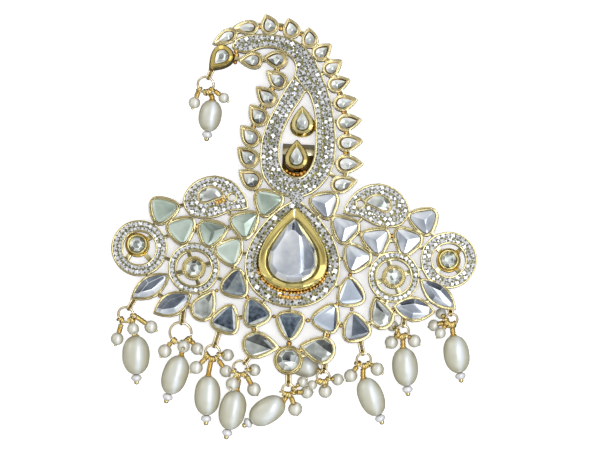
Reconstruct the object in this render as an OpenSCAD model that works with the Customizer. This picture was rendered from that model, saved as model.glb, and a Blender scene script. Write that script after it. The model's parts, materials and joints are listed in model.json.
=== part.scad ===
// Turban ornament: a paisley crest on a winged base, set with flat glass and hung with pearls.
// It lies on its back. X runs to the right, Y up towards the crest, Z away from the surface.
// The origin is on the resting face of the back clip, under the big centre stone.

/* [Levels] */
// Height of the back of the frame above the surface
back_z = 7.0; // [6.9:0.1:7.4]
// Thickness of the back plate under the stones
plate_t = 1.2; // [1:0.1:1.4]
// Height of the bezel walls above the plate
wall_h = 1.3; // [1.1:0.1:1.5]
// Height of the small stones above the plate
stone_h = 1.9; // [1.6:0.1:2.2]
// Height of the paved solids above the plate
pave_h = 1.1; // [0.9:0.1:1.2]

/* [Frame stones] */
// Distance from the middle of a three-cornered stone to its corner
trillion_r = 3.9; // [3.6:0.05:4.1]
// Width of a three-cornered stone as a share of an even-sided one
trillion_share = 0.92; // [0.88:0.01:1]
// Width of the bezel wall around the stones of the base
bezel_w = 0.85; // [0.6:0.05:0.9]
// Width of the bezel wall around the small stones of the crest
pear_bezel_w = 0.6; // [0.5:0.05:0.7]
// Width of the plain gold edging around the paved areas
edging_w = 0.5; // [0.4:0.05:0.6]
// Clearance between a stone and its bezel
fit = 0.06; // [0.04:0.01:0.1]

/* [Centre setting] */
// Radius of the round end of the centre setting
centre_r = 9.8; // [9.5:0.1:9.9]
// Length of the centre setting from its round end to its tip
centre_len = 23.4; // [22.8:0.1:23.6]
// Height of the centre setting above the plate
centre_h = 4.0; // [3.2:0.1:4.4]
// Width of the centre setting's rim
centre_rim = 2.2; // [2:0.1:2.6]

/* [Pearls and wire] */
// Slope of each oval pearl, whose hung end is the higher one
pearl_slope = 8; // [6:1:10]
// Slope of each jump ring, whose far side is the lower one
ring_slope = 24; // [20:1:28]
// Radius of the jump rings' wire
ring_wire = 0.32; // [0.25:0.01:0.35]
// Radius of the head pins' wire
pin_wire = 0.25; // [0.2:0.01:0.3]

/* [Back clip] */
// Width of the clip's strap at its bend
clip_w = 9.0; // [8.4:0.1:9.4]
// Thickness of the clip's strap
clip_t = 0.8; // [0.6:0.05:1]
// Y of the top of the clip's bend
clip_top = 32.0; // [31.6:0.1:32.4]
// Width of the tongue that runs from the strap down the back of the frame
tongue_w = 3.0; // [2.8:0.1:3.2]
// Y of the free end of the clip's rear leaf
clip_end = -12; // [-14:0.5:-8]

/* [Hidden] */
$fn = 48;
over = 0.5;
plate_z = back_z + plate_t;
rim_z = plate_z + wall_h;
seat_z = plate_z + fit;
eye_z = back_z + plate_t / 2;
girdle_h = wall_h * 0.8;
pear_stone_h = wall_h + 0.2;
// Width of a stone's flat table as a share of the stone's own
trillion_table = 0.8;
stone_table = 0.7;
small_table = 0.6;
hairline = 0.05;
trillion_round = 0.15;
// Walls of the leaf bezels and of the round bezel at the bottom
leaf_bezel_w = 0.7;
round_bezel_w = 1.1;
// Bars that join neighbours: width, widest gap that they span, depth into each neighbour
joint_w = 0.9;
joint_gap = 1.4;
joint_in = 1.2;
// Reach of each kind of setting from its middle, for the joints
trillion_reach = 4.1;
leaf_reach = 4.3;
comma_wall = 1.4;
mango_place = [24.5, 14.9, 8.1];
// Neck between the halo and the crest: width, Y of its two ends
neck = [3.2, 13.5, 17.5];
// Y where the clip's rear leaf starts and ends narrowing, and how far its tongue is shorter
clip_wide_end = 22.5;
clip_narrow_start = 18.5;
clip_step = 4;

// Three-cornered stones: x, y, direction of one corner
trillions = [
    [-37.0, 11.0, 15.5], [-31.6, 5.7, 44], [-23.2, 5.3, 19], [-14.1, 8.2, 40], [-7.9, 14.6, 16.5],
    [-17.8, 0.3, 52], [-15.9, -8.9, 81], [-9.7, -16.6, 116], [-17.9, -19.0, 72], [0, -19.1, -90],
    [35.9, 11.6, 164.5], [31.5, 5.7, 136], [22.8, 5.4, 161], [13.9, 8.2, 140], [8.0, 14.8, 163.5],
    [17.5, 0.2, 128], [16.4, -9.8, 99], [10.1, -17.2, 64], [18.3, -19.5, 108]
];
// Leaf stones: x, y, direction, length, width
leaves = [
    [-39.4, -10.6, 35, 11, 4.9], [-33.0, -15.2, 29, 10.1, 5.4],
    [40.7, -8.8, -38, 11.3, 4.9], [34.2, -13.3, -5, 10.2, 5.8]
];
// Comma stones: x, y of the round end, direction, radius, length, bend of the tail
commas = [
    [-24.6, -16.2, 53, 2.6, 7.6, 0.9], [25.4, -16.0, 121, 2.6, 7.6, -0.9],
    [-9.2, -25.4, 8, 3.0, 8.2, -1.1], [9.1, -26.0, 160, 3.0, 8.2, 1.1]
];
// Round stone at the bottom: x, y, radius
bottom_round = [0, -29.2, 3.0];
// Edge of the right mango medallion, and of the bezel of its stone: x, y
mango_edge = [
    [31.7, 13.5], [30.6, 17.2], [27.4, 20.1], [22.9, 21.4], [18.3, 20.1], [14.9, 16.9], [13.2, 12.6],
    [17.7, 11.8], [21.6, 9.9], [25.9, 9.1], [29.8, 10.1]
];
mango_gem_edge = [
    [27.8, 15.2], [26.8, 17.4], [23.8, 18.6], [21.1, 17.7], [19.8, 15.4], [22.1, 14.6], [25.2, 13.2],
    [27.1, 13.6]
];
// Shift of the stone's bezel on the left and on the right medallion
mango_gem_shift = [0, -0.9];
// Small hole beside the stone of each mango medallion: x, y, radius
mango_hole = [17.9, 15.5, 1.0];
// Round medallions: x, y, outer radius, inner radius, x and y of the cup
rounds = [[-43.1, 0.0, 7.8, 4.6, -43.7, 0.9], [43.3, 0.9, 7.9, 4.6, 43.3, 0.9]];
// Flower rings: x, y, outer radius, inner radius
flowers = [[-27.6, -4.9, 7.2, 4.8], [28.2, -4.6, 7.2, 4.8]];
flower_disc = 3.3;
flower_gem = 2.3;
cup_disc = 3.4;
cup_wall = 3.0;
cup_gem = 2.1;
cup_h = 2.2;
spoke_w = 1.3;
spoke_count = 4;
cup_spoke_start = 45;
flower_spoke_start = 20;
// Pear stones along the outer side of the crest: x, y, bezel radius, direction of the tip, length
outer_pears = [
    [-20.8, 61.3, 2.0, 212, 7.4], [-15.0, 63.7, 2.0, 186, 7.2], [-9.9, 64.4, 2.5, 113, 5.9],
    [-3.7, 63.5, 2.4, 108, 5.8], [1.6, 61.0, 2.3, 100, 5.7], [4.8, 57.4, 2.3, 42, 6.1],
    [7.8, 53.1, 2.25, 39, 6.2], [9.4, 48.7, 2.25, 20, 6.5], [11.3, 43.5, 2.25, 15, 6.8],
    [12.5, 38.0, 2.4, 13, 7.1], [13.0, 32.3, 2.4, 11, 7.3], [13.1, 26.4, 2.6, 3, 7.7],
    [11.9, 20.5, 2.5, 16, 7.5]
];
// Pear stones along the inner side of the crest, in the same columns
inner_pears = [
    [-13.8, 54.4, 2.4, 185, 6.5], [-6.8, 54.9, 2.5, 176, 7.0], [-6.5, 48.9, 2.4, 144, 6.7],
    [-9.2, 43.8, 2.5, 139, 7.0], [-11.5, 38.4, 2.6, 130, 6.8], [-13.4, 32.4, 2.6, 133, 7.0],
    [-13.6, 26.6, 2.7, 139, 7.1], [-12.6, 20.6, 2.8, 147, 7.2]
];
// Outer edge of the crest, clockwise from the end of its hook: x, y
crest_edge = [
    [-20.1, 57.8], [-18.5, 60.6], [-14.5, 61.8], [-8.0, 62.0], [-2.2, 60.4], [2.2, 57.1], [5.3, 51.6],
    [7.9, 45.5], [9.6, 38.5], [10.4, 30.8], [9.7, 25.0], [7.6, 21.0], [4.2, 17.7], [-0.1, 16.3],
    [-4.6, 17.1], [-8.3, 19.8], [-10.3, 23.6], [-10.8, 30.0], [-9.7, 35.6], [-7.3, 41.4], [-4.7, 46.8],
    [-2.3, 51.2], [-2.7, 54.8], [-6.9, 57.8], [-11.5, 58.1], [-16.4, 56.3]
];
// Edge of the opening in the crest, clockwise from its tip: x, y
opening_edge = [
    [1.4, 46.3], [3.2, 42.8], [4.3, 37.4], [4.6, 30.5], [4.0, 26.2], [2.1, 23.0], [-0.3, 22.0],
    [-2.9, 22.8], [-4.8, 25.3], [-5.4, 29.0], [-4.6, 34.6], [-2.4, 39.9], [0, 44.0]
];
// Gold line that parts the hook from the body of the crest: x, y of its ends
divider = [[-3.2, 51.9], [1.5, 46.0]];
// Polished settings: x, y, radius, direction, length, glass radius, glass length
tip_drop = [-22.7, 55.1, 3.3, 229, 8.7, 1.9, 5.2];
upper_drop = [0.7, 36.9, 3.6, 93, 9.1, 1.7, 5.2];
lower_drop = [-0.5, 27.2, 3.7, 91, 9.4, 1.85, 5.5];
drop_h = 2.6;
drop_flange = 0.45;
tip_flange = 0.3;
// Lug that carries the upper setting: length, width
lug = [5, 3];
drop_glass_z = 1.0;
glass_rise = 1.0;
// Halo of paving around the centre: x, y, radius, length
halo = [-0.2, -1.2, 13.4, 30.4];
halo_power = 0.6;
centre = [-0.1, -0.5];
// Step at the foot of the centre setting, and gap between it and the paving
centre_flange = 0.6;
centre_gap = 0.3;
// Hanging drops: hang x, y, ring x, y, ring radius, pearl x, y, direction of its far end, width, length
drops = [
    [-25.3, 51.8, -27.0, 47.2, 2.3, -25.4, 38.9, -96, 6.7, 9.2],
    [-43.2, -13.2, -45.9, -18.6, 2.2, -42.6, -29.6, -86, 8.0, 11.2],
    [-29.9, -16.3, -30.4, -22.9, 3.1, -31.4, -34.6, -106, 7.4, 11.5],
    [-19.6, -21.8, -21.2, -27.9, 2.1, -22.1, -39.9, -90, 7.5, 11.4],
    [-10.8, -28.6, -13.2, -32.0, 2.2, -14.9, -43.6, -100, 7.7, 11.5],
    [0.2, -33.0, 0.4, -37.3, 1.7, -5.2, -43.3, -145, 7.5, 11.2],
    [10.2, -29.6, 9.9, -33.2, 1.8, 4.0, -30.0, 162, 6.6, 9.6],
    [19.6, -22.4, 21.0, -27.9, 2.0, 23.6, -38.0, -64, 7.3, 11.5],
    [31.8, -15.0, 31.4, -19.4, 1.8, 32.7, -29.2, -81, 7.5, 11.1],
    [44.2, -11.6, 44.9, -15.5, 1.7, 46.9, -24.9, -77, 7.5, 10.9]
];
// Seed pearls: drop that they hang on, x, y, z, radius, direction of their link from the ring's middle
seeds = [
    [0, -30.0, 42.3, 4.2, 1.65, 215], [0, -21.8, 43.9, 5.3, 1.5, -30],
    [1, -43.6, -22.6, 8.1, 1.7, -28], [1, -38.8, -21.6, 5.0, 1.85, 5], [1, -48.1, -25.3, 4.2, 1.8, 240],
    [2, -34.6, -28.1, 4.6, 1.9, 225], [2, -29.3, -26.8, 8.0, 1.75, -62], [2, -25.6, -27.0, 4.6, 1.75, -30],
    [3, -25.6, -32.3, 5.1, 1.85, 225], [3, -17.0, -28.4, 5.0, 1.75, -10], [3, -17.3, -32.8, 4.0, 1.75, -50],
    [4, -15.2, -36.6, 8.3, 1.9, 235], [4, -9.3, -32.2, 5.2, 1.75, 0], [4, -9.2, -37.5, 3.8, 1.95, -45],
    [5, 2.6, -42.4, 3.4, 2.0, -65], [5, 5.6, -37.6, 3.8, 1.8, -25], [5, 4.2, -34.9, 6.2, 1.5, 20],
    [6, 10.7, -37.1, 4.2, 1.9, -80], [6, 14.0, -33.7, 5.0, 1.7, -15], [6, 7.0, -35.6, 5.9, 1.35, 230],
    [7, 17.6, -32.4, 4.6, 1.85, 225], [7, 24.9, -30.3, 5.3, 1.9, -30],
    [8, 28.6, -17.9, 4.2, 1.6, 165], [8, 28.5, -22.6, 5.2, 1.85, 225], [8, 34.9, -21.9, 5.2, 1.85, -40],
    [9, 42.0, -13.8, 4.2, 1.5, 165], [9, 40.2, -17.2, 4.2, 1.65, 200], [9, 42.0, -19.4, 5.9, 1.55, 235]
];
eye_outer = 0.8;
eye_hole = 0.45;
eye_w = 0.6;
arm_r = 0.25;
stone_gap = 0.1;
pin_bore = 0.4;
pin_stub = 1.5;
spacer_r = 1.15;
spacer_l = 1.6;
ball_r = 0.6;
elbow_r = 0.35;

function along(a) = [cos(a), sin(a)];
function turned(p, a) = [p.x * cos(a) - p.y * sin(a), p.x * sin(a) + p.y * cos(a)];
function placed(pts, at, a) = [for (p = pts) at + turned(p, a)];
function middle(pts, i = 0) = i == len(pts) ? [0, 0] : pts[i] / len(pts) + middle(pts, i + 1);

// Teardrop with its round end about the origin and its tip along X. The tail may bend sideways.
// With a power under 1 the tip is blunter.
function drop_share(power) =
    let (t = acos(-power / (2 + power))) sin(t) * pow(sin(t / 2), power);
function drop_pts(r, length, bend = 0, n = 20, power = 1) = [
    for (i = [0:n - 1])
        let (t = 360 * i / n, x = length / 2 * (1 + cos(t)) - r, s = max(0, x) / (length - r))
            [x, r / drop_share(power) * sin(t) * pow(sin(t / 2), power) + bend * s * s]
];

// Three-cornered outline with bowed sides and round corners, one of them along X.
function trillion_pts(r, n = 18) = [
    for (i = [0:n - 1])
        let (t = 360 * i / n)
            r / (1 + trillion_round) *
                [cos(t) + trillion_round * cos(2 * t),
                 trillion_share * (sin(t) - trillion_round * sin(2 * t))]
];

// Leaf with a point at each end.
function leaf_pts(length, width, n = 16) = [
    for (i = [0:n - 1])
        let (t = 360 * i / n)
            [length / 2 * cos(t), width / 2 * sin(t) * abs(sin(t))]
];

function ring_pts(r, n = 24) = [for (i = [0:n - 1]) r * along(360 * i / n)];

// Closed curve through hand-placed points, with some steps between each pair.
function curve_point(a, b, c, d, t) =
    0.5 * (2 * b + (c - a) * t + (2 * a - 5 * b + 4 * c - d) * t * t + (3 * b - a - 3 * c + d) * t * t * t);
function smooth(pts, steps = 3) = let (n = len(pts)) [
    for (i = [0:n - 1], k = [0:steps - 1])
        curve_point(pts[(i + n - 1) % n], pts[i], pts[(i + 1) % n], pts[(i + 2) % n], k / steps)
];

function trillion_at(row) = placed(trillion_pts(trillion_r), [row[0], row[1]], row[2]);
function leaf_at(row) = placed(leaf_pts(row[3], row[4]), [row[0], row[1]], row[2]);
function mirrored(pts, side) = [for (p = pts) [side * p.x, p.y]];
function mango_at(i) = mirrored(smooth(mango_edge, 2), 2 * i - 1);
function mango_gem_at(i) =
    mirrored([for (p = smooth(mango_gem_edge, 2)) p + [mango_gem_shift[i], 0]], 2 * i - 1);
function comma_at(row) = placed(drop_pts(row[3], row[4], row[5]), [row[0], row[1]], row[2]);
function pear_body(row) = [row[0], row[1]] + along(row[3]) * row[4] / 6;
function nearest(p, pts) = let (far = [for (q = pts) norm(q - p)]) pts[search(min(far), far)[0]];
function pear_at(row, inset) =
    placed(drop_pts(row[2] - inset, row[4] - 2.3 * inset), [row[0], row[1]], row[3]);

// Points of a hanging drop, in three dimensions.
function ring_turn(d) = atan2(d[1] - d[3], d[0] - d[2]);
function ring_middle(d) = [d[2], d[3], eye_z - d[4] * sin(ring_slope)];
function ring_point(d, a) =
    let (f = a - ring_turn(d), u = d[4] * cos(f), v = d[4] * sin(f))
        ring_middle(d) + concat(turned([u * cos(ring_slope), v], ring_turn(d)), [u * sin(ring_slope)]);
function pearl_axis(d) = [cos(d[7]) * cos(pearl_slope), sin(d[7]) * cos(pearl_slope), -sin(pearl_slope)];
function pearl_middle(d) =
    [d[5], d[6], sqrt(pow(d[8] / 2 * cos(pearl_slope), 2) + pow(d[9] / 2 * sin(pearl_slope), 2))];
function pearl_elbow(d) = pearl_middle(d) - pearl_axis(d) * (d[9] / 2 + pin_stub / 3);
function pearl_link(d) = let (e = pearl_elbow(d)) atan2(e.y - d[3], e.x - d[2]);

module bezel(pts, w = bezel_w) offset(delta = w) polygon(pts);
module pocket(pts) offset(delta = fit) polygon(pts);

// Closes hairline gaps between neighbours.
module mended() offset(delta = -hairline) offset(delta = hairline) children();

module slab(z0, z1) translate([0, 0, z0]) linear_extrude(z1 - z0) children();

module bar(from, to, w) {
    reach = to - from;
    translate(from) rotate(atan2(reach.y, reach.x)) translate([0, -w / 2]) square([norm(reach), w]);
}

// Round rod between two points in space.
module rod(from, to, r) {
    reach = to - from;
    translate(from)
        rotate([0, acos(reach.z / norm(reach)), atan2(reach.y, reach.x)]) cylinder(r = r, h = norm(reach));
}

// Cut stone with an upright girdle and a sloping crown up to a flat table.
module gem(pts, z0, girdle, height, table) {
    n = len(pts);
    c = middle(pts);
    top = [for (p = pts) c + table * (p - c)];
    polyhedron(
        points = concat([for (p = pts) [p.x, p.y, z0]], [for (p = pts) [p.x, p.y, z0 + girdle]],
                        [for (p = top) [p.x, p.y, z0 + height]]),
        faces = concat(
            [[for (i = [0:n - 1]) i]],
            [[for (i = [n - 1:-1:0]) 2 * n + i]],
            [for (k = [0, n], i = [0:n - 1]) let (j = (i + 1) % n) [k + i, k + n + i, k + n + j, k + j]]
        )
    );
}

// Upright eye on the frame for a jump ring, with the arm that carries it.
module eye(d) {
    at = ring_point(d, ring_turn(d));
    hang = [d[0], d[1], eye_z];
    far = at + (hang - at) * (eye_hole + stone_gap) / norm(hang - at);
    difference() {
        translate(at) rotate([90, 0, ring_turn(d)]) cylinder(r = eye_outer, h = eye_w, center = true);
        translate(at) rotate([90, 0, ring_turn(d)]) cylinder(r = eye_hole, h = 2 * eye_w, center = true);
    }
    rod(far, hang, arm_r);
}

// Flat eye of a head pin around the ring's wire, with the wire that runs on to its bead.
module pin_eye(d, a, to) {
    at = ring_point(d, a);
    far = at + (to - at) * (eye_hole + stone_gap) / norm(to - at);
    difference() {
        translate(at) rotate([90, 0, a]) cylinder(r = eye_outer, h = eye_w, center = true);
        translate(at) rotate([90, 0, a]) cylinder(r = eye_hole, h = 2 * eye_w, center = true);
    }
    rod(far, to, pin_wire);
}

module spokes(at, to, r, start) {
    for (i = [0:spoke_count - 1])
        bar([at.x, at.y], [to.x, to.y] + r * along(start + 360 * i / spoke_count), spoke_w);
}

module medallion_outline(row) {
    difference() {
        translate([row[0], row[1]]) circle(row[2]);
        translate([row[0], row[1]]) circle(row[3]);
    }
}

module medallion_paving(row) {
    difference() {
        translate([row[0], row[1]]) circle(row[2] - edging_w);
        translate([row[0], row[1]]) circle(row[3] + edging_w);
    }
}

module mango_gem(i, inset) offset(delta = -inset) polygon(mango_gem_at(i));

module mango_paving(i) {
    difference() {
        offset(delta = -edging_w) polygon(mango_at(i));
        polygon(mango_gem_at(i));
        mango_holes(mango_hole.z + edging_w);
    }
}

// Gold joints between neighbours that almost meet: centres and reach are x, y, radius.
module joints(places) {
    for (i = [1:len(places) - 1], j = [0:i - 1]) {
        a = places[i];
        b = places[j];
        apart = norm([a.x - b.x, a.y - b.y]);
        way = [b.x - a.x, b.y - a.y] / apart;
        if (apart < a.z + b.z + joint_gap)
            bar([a.x, a.y] + way * (a.z - joint_in), [b.x, b.y] - way * (b.z - joint_in), joint_w);
    }
}

function centre_pts(inset) = placed(drop_pts(centre_r - inset, centre_len - 2.2 * inset, 0, 36), centre, 90);
function halo_pts() = placed(drop_pts(halo[2], halo[3], 0, 40, halo_power), [halo[0], halo[1]], 90);
function setting_pts(row, inset) =
    placed(drop_pts(row[2] - inset, row[4] - 2.2 * inset, 0, 24), [row[0], row[1]], row[3]);
function setting_gem(row) = placed(drop_pts(row[5], row[6], 0, 24), [row[0], row[1]], row[3]);

base_places = concat(
    [for (row = trillions) [row[0], row[1], trillion_reach]],
    [for (row = leaves) [row[0], row[1], leaf_reach]],
    [for (row = commas) [row[0], row[1], row[3] + comma_wall]],
    [for (row = concat(rounds, flowers)) [row[0], row[1], row[2]]],
    [for (x = [-1, 1]) [x * mango_place.x, mango_place.y, mango_place.z]],
    [[bottom_round.x, bottom_round.y, bottom_round.z + round_bezel_w], [halo[0], halo[1], halo[2]]]
);

module base_metal() {
    polygon(halo_pts());
    bar([halo.x, neck[1]], [halo.x, neck[2]], neck[0]);
    for (row = trillions) bezel(trillion_at(row));
    for (row = leaves) bezel(leaf_at(row), leaf_bezel_w);
    for (row = commas) bezel(comma_at(row));
    translate([bottom_round.x, bottom_round.y]) circle(bottom_round.z + round_bezel_w);
    for (i = [0, 1]) polygon(mango_at(i));
    joints(base_places);
    for (row = rounds) {
        medallion_outline(row);
        translate([row[4], row[5]]) circle(cup_disc);
        spokes([row[4], row[5]], [row[0], row[1]], row[3] + over, cup_spoke_start);
    }
    for (row = flowers) {
        medallion_outline(row);
        translate([row[0], row[1]]) circle(flower_disc);
        spokes([row[0], row[1]], [row[0], row[1]], row[3] + over, flower_spoke_start);
    }
}

module mango_holes(r) {
    for (x = [-1, 1]) translate([x * mango_hole.x, mango_hole.y]) circle(r);
}

module base_outline() mended() difference() {
    base_metal();
    offset(delta = fit) crest_outline();
    mango_holes(mango_hole.z);
}

module halo_paving(inset) difference() {
    offset(delta = -edging_w - inset) polygon(halo_pts());
    for (row = trillions) bezel(trillion_at(row), bezel_w + inset);
}

module base_pockets() {
    halo_paving(0);
    for (row = trillions) pocket(trillion_at(row));
    for (row = leaves) pocket(leaf_at(row));
    for (row = commas) pocket(comma_at(row));
    translate([bottom_round.x, bottom_round.y]) circle(bottom_round.z + fit);
    for (i = [0, 1]) {
        mango_gem(i, pear_bezel_w - fit);
        mango_paving(i);
    }
    for (row = rounds) {
        medallion_paving(row);
        translate([row[4], row[5]]) circle(cup_disc + fit);
    }
    for (row = flowers) {
        medallion_paving(row);
        translate([row[0], row[1]]) circle(flower_gem + fit);
    }
}

module base_frame() color("goldenrod") {
    difference() {
        slab(back_z, rim_z) base_outline();
        slab(plate_z, rim_z + over) mended() base_pockets();
    }
    for (i = [1:len(drops) - 1]) eye(drops[i]);
}

// Joints from each small stone to the next one and to the edge of the crest.
module pear_joints(rows) {
    for (i = [0:len(rows) - 1]) {
        at = pear_body(rows[i]);
        edge = nearest(at, smooth(crest_edge));
        bar(at, edge + (edge - at) / norm(edge - at) * joint_w / 2, joint_w);
        bar(at, i == 0 ? [tip_drop[0], tip_drop[1]] : pear_body(rows[i - 1]), joint_w);
    }
}

module crest_outline() mended() {
    polygon(smooth(crest_edge));
    for (row = concat(outer_pears, inner_pears)) polygon(pear_at(row, 0));
    polygon(setting_pts(tip_drop, 0));
    for (rows = [outer_pears, inner_pears]) pear_joints(rows);
}

module crest_paving() {
    difference() {
        offset(delta = -edging_w) polygon(smooth(crest_edge));
        offset(delta = edging_w) polygon(smooth(opening_edge));
        bar(divider[0], divider[1], edging_w);
    }
}

module crest_frame() color("goldenrod") {
    difference() {
        slab(back_z, rim_z) crest_outline();
        slab(plate_z, rim_z + over) {
            crest_paving();
            for (row = concat(outer_pears, inner_pears)) polygon(pear_at(row, pear_bezel_w - fit));
            pocket(setting_pts(tip_drop, 0));
            pocket(setting_pts(upper_drop, 0));
        }
        slab(back_z - over, rim_z + over) difference() {
            polygon(smooth(opening_edge));
            bar([upper_drop[0], upper_drop[1]], [upper_drop[0] + lug.x, upper_drop[1]], lug.y);
        }
    }
    eye(drops[0]);
}

// Polished setting: a flange, a wall and the hollow that holds the stone.
module drop_setting(row, z, flange) {
    difference() {
        union() {
            slab(z, z + drop_h / 3) polygon(setting_pts(row, 0));
            slab(z, z + drop_h) polygon(setting_pts(row, flange));
        }
        slab(z + drop_glass_z, z + drop_h + over) pocket(setting_gem(row));
    }
}

module center_setting() color("gold") {
    difference() {
        union() {
            slab(plate_z, plate_z + centre_h / 4) polygon(centre_pts(0));
            slab(plate_z, plate_z + centre_h) polygon(centre_pts(centre_flange));
        }
        slab(plate_z + centre_h / 3, plate_z + centre_h + over) pocket(centre_pts(centre_rim));
    }
}

module upper_drop_setting() color("gold") drop_setting(upper_drop, plate_z, drop_flange);
module lower_drop_setting() color("gold") drop_setting(lower_drop, back_z, drop_flange);
module tip_setting() color("gold") drop_setting(tip_drop, plate_z, tip_flange);

module medallion_cups() color("gold") {
    for (row = rounds) translate([row[4], row[5], plate_z]) difference() {
        union() {
            cylinder(r = cup_disc, h = cup_h / 3);
            cylinder(r = cup_wall, h = cup_h);
        }
        translate([0, 0, cup_h / 3]) cylinder(r = cup_gem + fit, h = cup_h);
    }
}

// Spring clip: one strap bent back on itself behind the frame, wide at the bend and narrow lower down.
module back_clip() color("darkgoldenrod") {
    bend = back_z / 2;
    wide = clip_w / 2;
    narrow = tongue_w / 2;
    slab(0, clip_t) polygon([
        [-wide, clip_top - bend], [-wide, clip_wide_end], [-narrow, clip_narrow_start], [-narrow, clip_end],
        [narrow, clip_end], [narrow, clip_narrow_start], [wide, clip_wide_end], [wide, clip_top - bend]
    ]);
    translate([-narrow, clip_end + clip_step, back_z - clip_t])
        cube([tongue_w, clip_top - bend - clip_end - clip_step, clip_t]);
    translate([0, clip_top - bend, bend]) rotate([90, 0, 90]) linear_extrude(clip_w, center = true) difference() {
        circle(bend);
        circle(bend - clip_t);
        translate([-2 * bend, -bend - over]) square([2 * bend, back_z + 2 * over]);
    }
}

module crest_pave() color("gainsboro") slab(seat_z, plate_z + pave_h) offset(delta = -fit) crest_paving();

module halo_pave() color("gainsboro") slab(seat_z, plate_z + pave_h) difference() {
    halo_paving(fit);
    offset(delta = centre_gap) polygon(centre_pts(0));
}

module medallion_pave() color("gainsboro") slab(seat_z, plate_z + pave_h) {
    for (row = concat(rounds, flowers)) difference() {
        translate([row[0], row[1]]) circle(row[2] - edging_w - fit);
        translate([row[0], row[1]]) circle(row[3] + edging_w + fit);
    }
    for (i = [0, 1]) offset(delta = -fit) mango_paving(i);
}

module center_stone() color("lavender")
    gem(centre_pts(centre_rim), plate_z + centre_h / 3 + fit, centre_h / 2, centre_h, stone_table);
module drop_stone(row, z)
    gem(setting_gem(row), z + drop_glass_z + fit, glass_rise, drop_h - drop_glass_z, small_table);

module upper_drop_stone() color("aliceblue")
    drop_stone(upper_drop, plate_z);
module lower_drop_stone() color("aliceblue")
    drop_stone(lower_drop, back_z);
module tip_stone() color("honeydew")
    drop_stone(tip_drop, plate_z);
module bottom_round_stone() color("aliceblue") translate([bottom_round.x, bottom_round.y])
    gem(ring_pts(bottom_round.z), seat_z, stone_h / 2, stone_h, small_table);

module trillion_stone(i) color(i < 6 ? "honeydew" : i < 10 ? "slategray" : "lavender")
    gem(trillion_at(trillions[i]), seat_z, girdle_h, stone_h, trillion_table);

module pear_stones(rows) color("lavender") {
    for (row = rows) gem(pear_at(row, pear_bezel_w), seat_z, girdle_h, pear_stone_h, stone_table);
}

module crest_outer_stones() pear_stones(outer_pears);
module crest_inner_stones() pear_stones(inner_pears);
module mango_stones() color("aliceblue") {
    for (i = [0, 1]) slab(seat_z, plate_z + wall_h) mango_gem(i, pear_bezel_w);
}
module cup_stones() color("aliceblue") {
    for (row = rounds)
        translate([row[4], row[5]])
            gem(ring_pts(cup_gem), plate_z + cup_h / 3 + fit, cup_h / 3, cup_h * 2 / 3, small_table);
}
module flower_stones() color("aliceblue") {
    for (row = flowers)
        translate([row[0], row[1]]) gem(ring_pts(flower_gem), seat_z, stone_h / 2, stone_h, small_table);
}
module leaf_stones() color("lavender") {
    for (row = leaves) gem(leaf_at(row), seat_z, girdle_h, stone_h, stone_table);
}
module comma_stones() color("lavender") {
    for (row = commas) slab(seat_z, plate_z + wall_h) polygon(comma_at(row));
}

// Turns what stands along Z so that it lies along the pearl, with the far end at +Z.
module on_pearl(d) translate(pearl_middle(d)) rotate([0, 90 + pearl_slope, d[7]]) children();

module bored_oval(w, l, n = 12) rotate_extrude() difference() {
    polygon([for (i = [0:n]) let (t = 180 * i / n) [w / 2 * sin(t), -l / 2 * cos(t)]]);
    translate([-over, -l]) square([over + pin_bore, 2 * l]);
}

module oval_pearl(i) color("ivory") on_pearl(drops[i]) bored_oval(drops[i][8], drops[i][9]);

module spacer_beads() color("white") {
    for (d = drops)
        on_pearl(d) translate([0, 0, (d[9] + spacer_l) / 2]) bored_oval(2 * spacer_r, spacer_l, 8);
}

module head_pins() color("gold") {
    for (d = drops) {
        elbow = pearl_elbow(d);
        end = pearl_middle(d) + pearl_axis(d) * (d[9] / 2 + spacer_l + ball_r * 0.7);
        union() {
            rod(elbow, end, pin_wire);
            translate(elbow) sphere(elbow_r);
            translate(end) sphere(ball_r);
            pin_eye(d, pearl_link(d), elbow);
        }
    }
    for (s = seeds) {
        d = drops[s[0]];
        at = ring_point(d, s[5]);
        ball = [s[1], s[2], s[3]];
        pin_eye(d, s[5], ball + (at - ball) * (s[4] + 0.05) / norm(at - ball));
    }
}

module seed_pearls() color("ivory") {
    for (s = seeds) translate([s[1], s[2], s[3]]) sphere(s[4]);
}

module jump_rings() color("gold") {
    for (d = drops)
        translate(ring_middle(d)) rotate([0, -ring_slope, ring_turn(d)])
            rotate_extrude() translate([d[4], 0]) circle(ring_wire);
}

base_frame();
crest_frame();
center_setting();
upper_drop_setting();
lower_drop_setting();
tip_setting();
medallion_cups();
back_clip();
crest_pave();
halo_pave();
medallion_pave();
center_stone();
upper_drop_stone();
lower_drop_stone();
tip_stone();
bottom_round_stone();
crest_outer_stones();
crest_inner_stones();
mango_stones();
cup_stones();
flower_stones();
leaf_stones();
comma_stones();
seed_pearls();
spacer_beads();
head_pins();
jump_rings();
for (i = [0:len(trillions) - 1]) {
    trillion_stone(i);
}
for (i = [0:len(drops) - 1]) {
    oval_pearl(i);
}
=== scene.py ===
import json
import math
import random
from collections import Counter

import bpy
import numpy as np
from mathutils import Matrix, Vector

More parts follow.
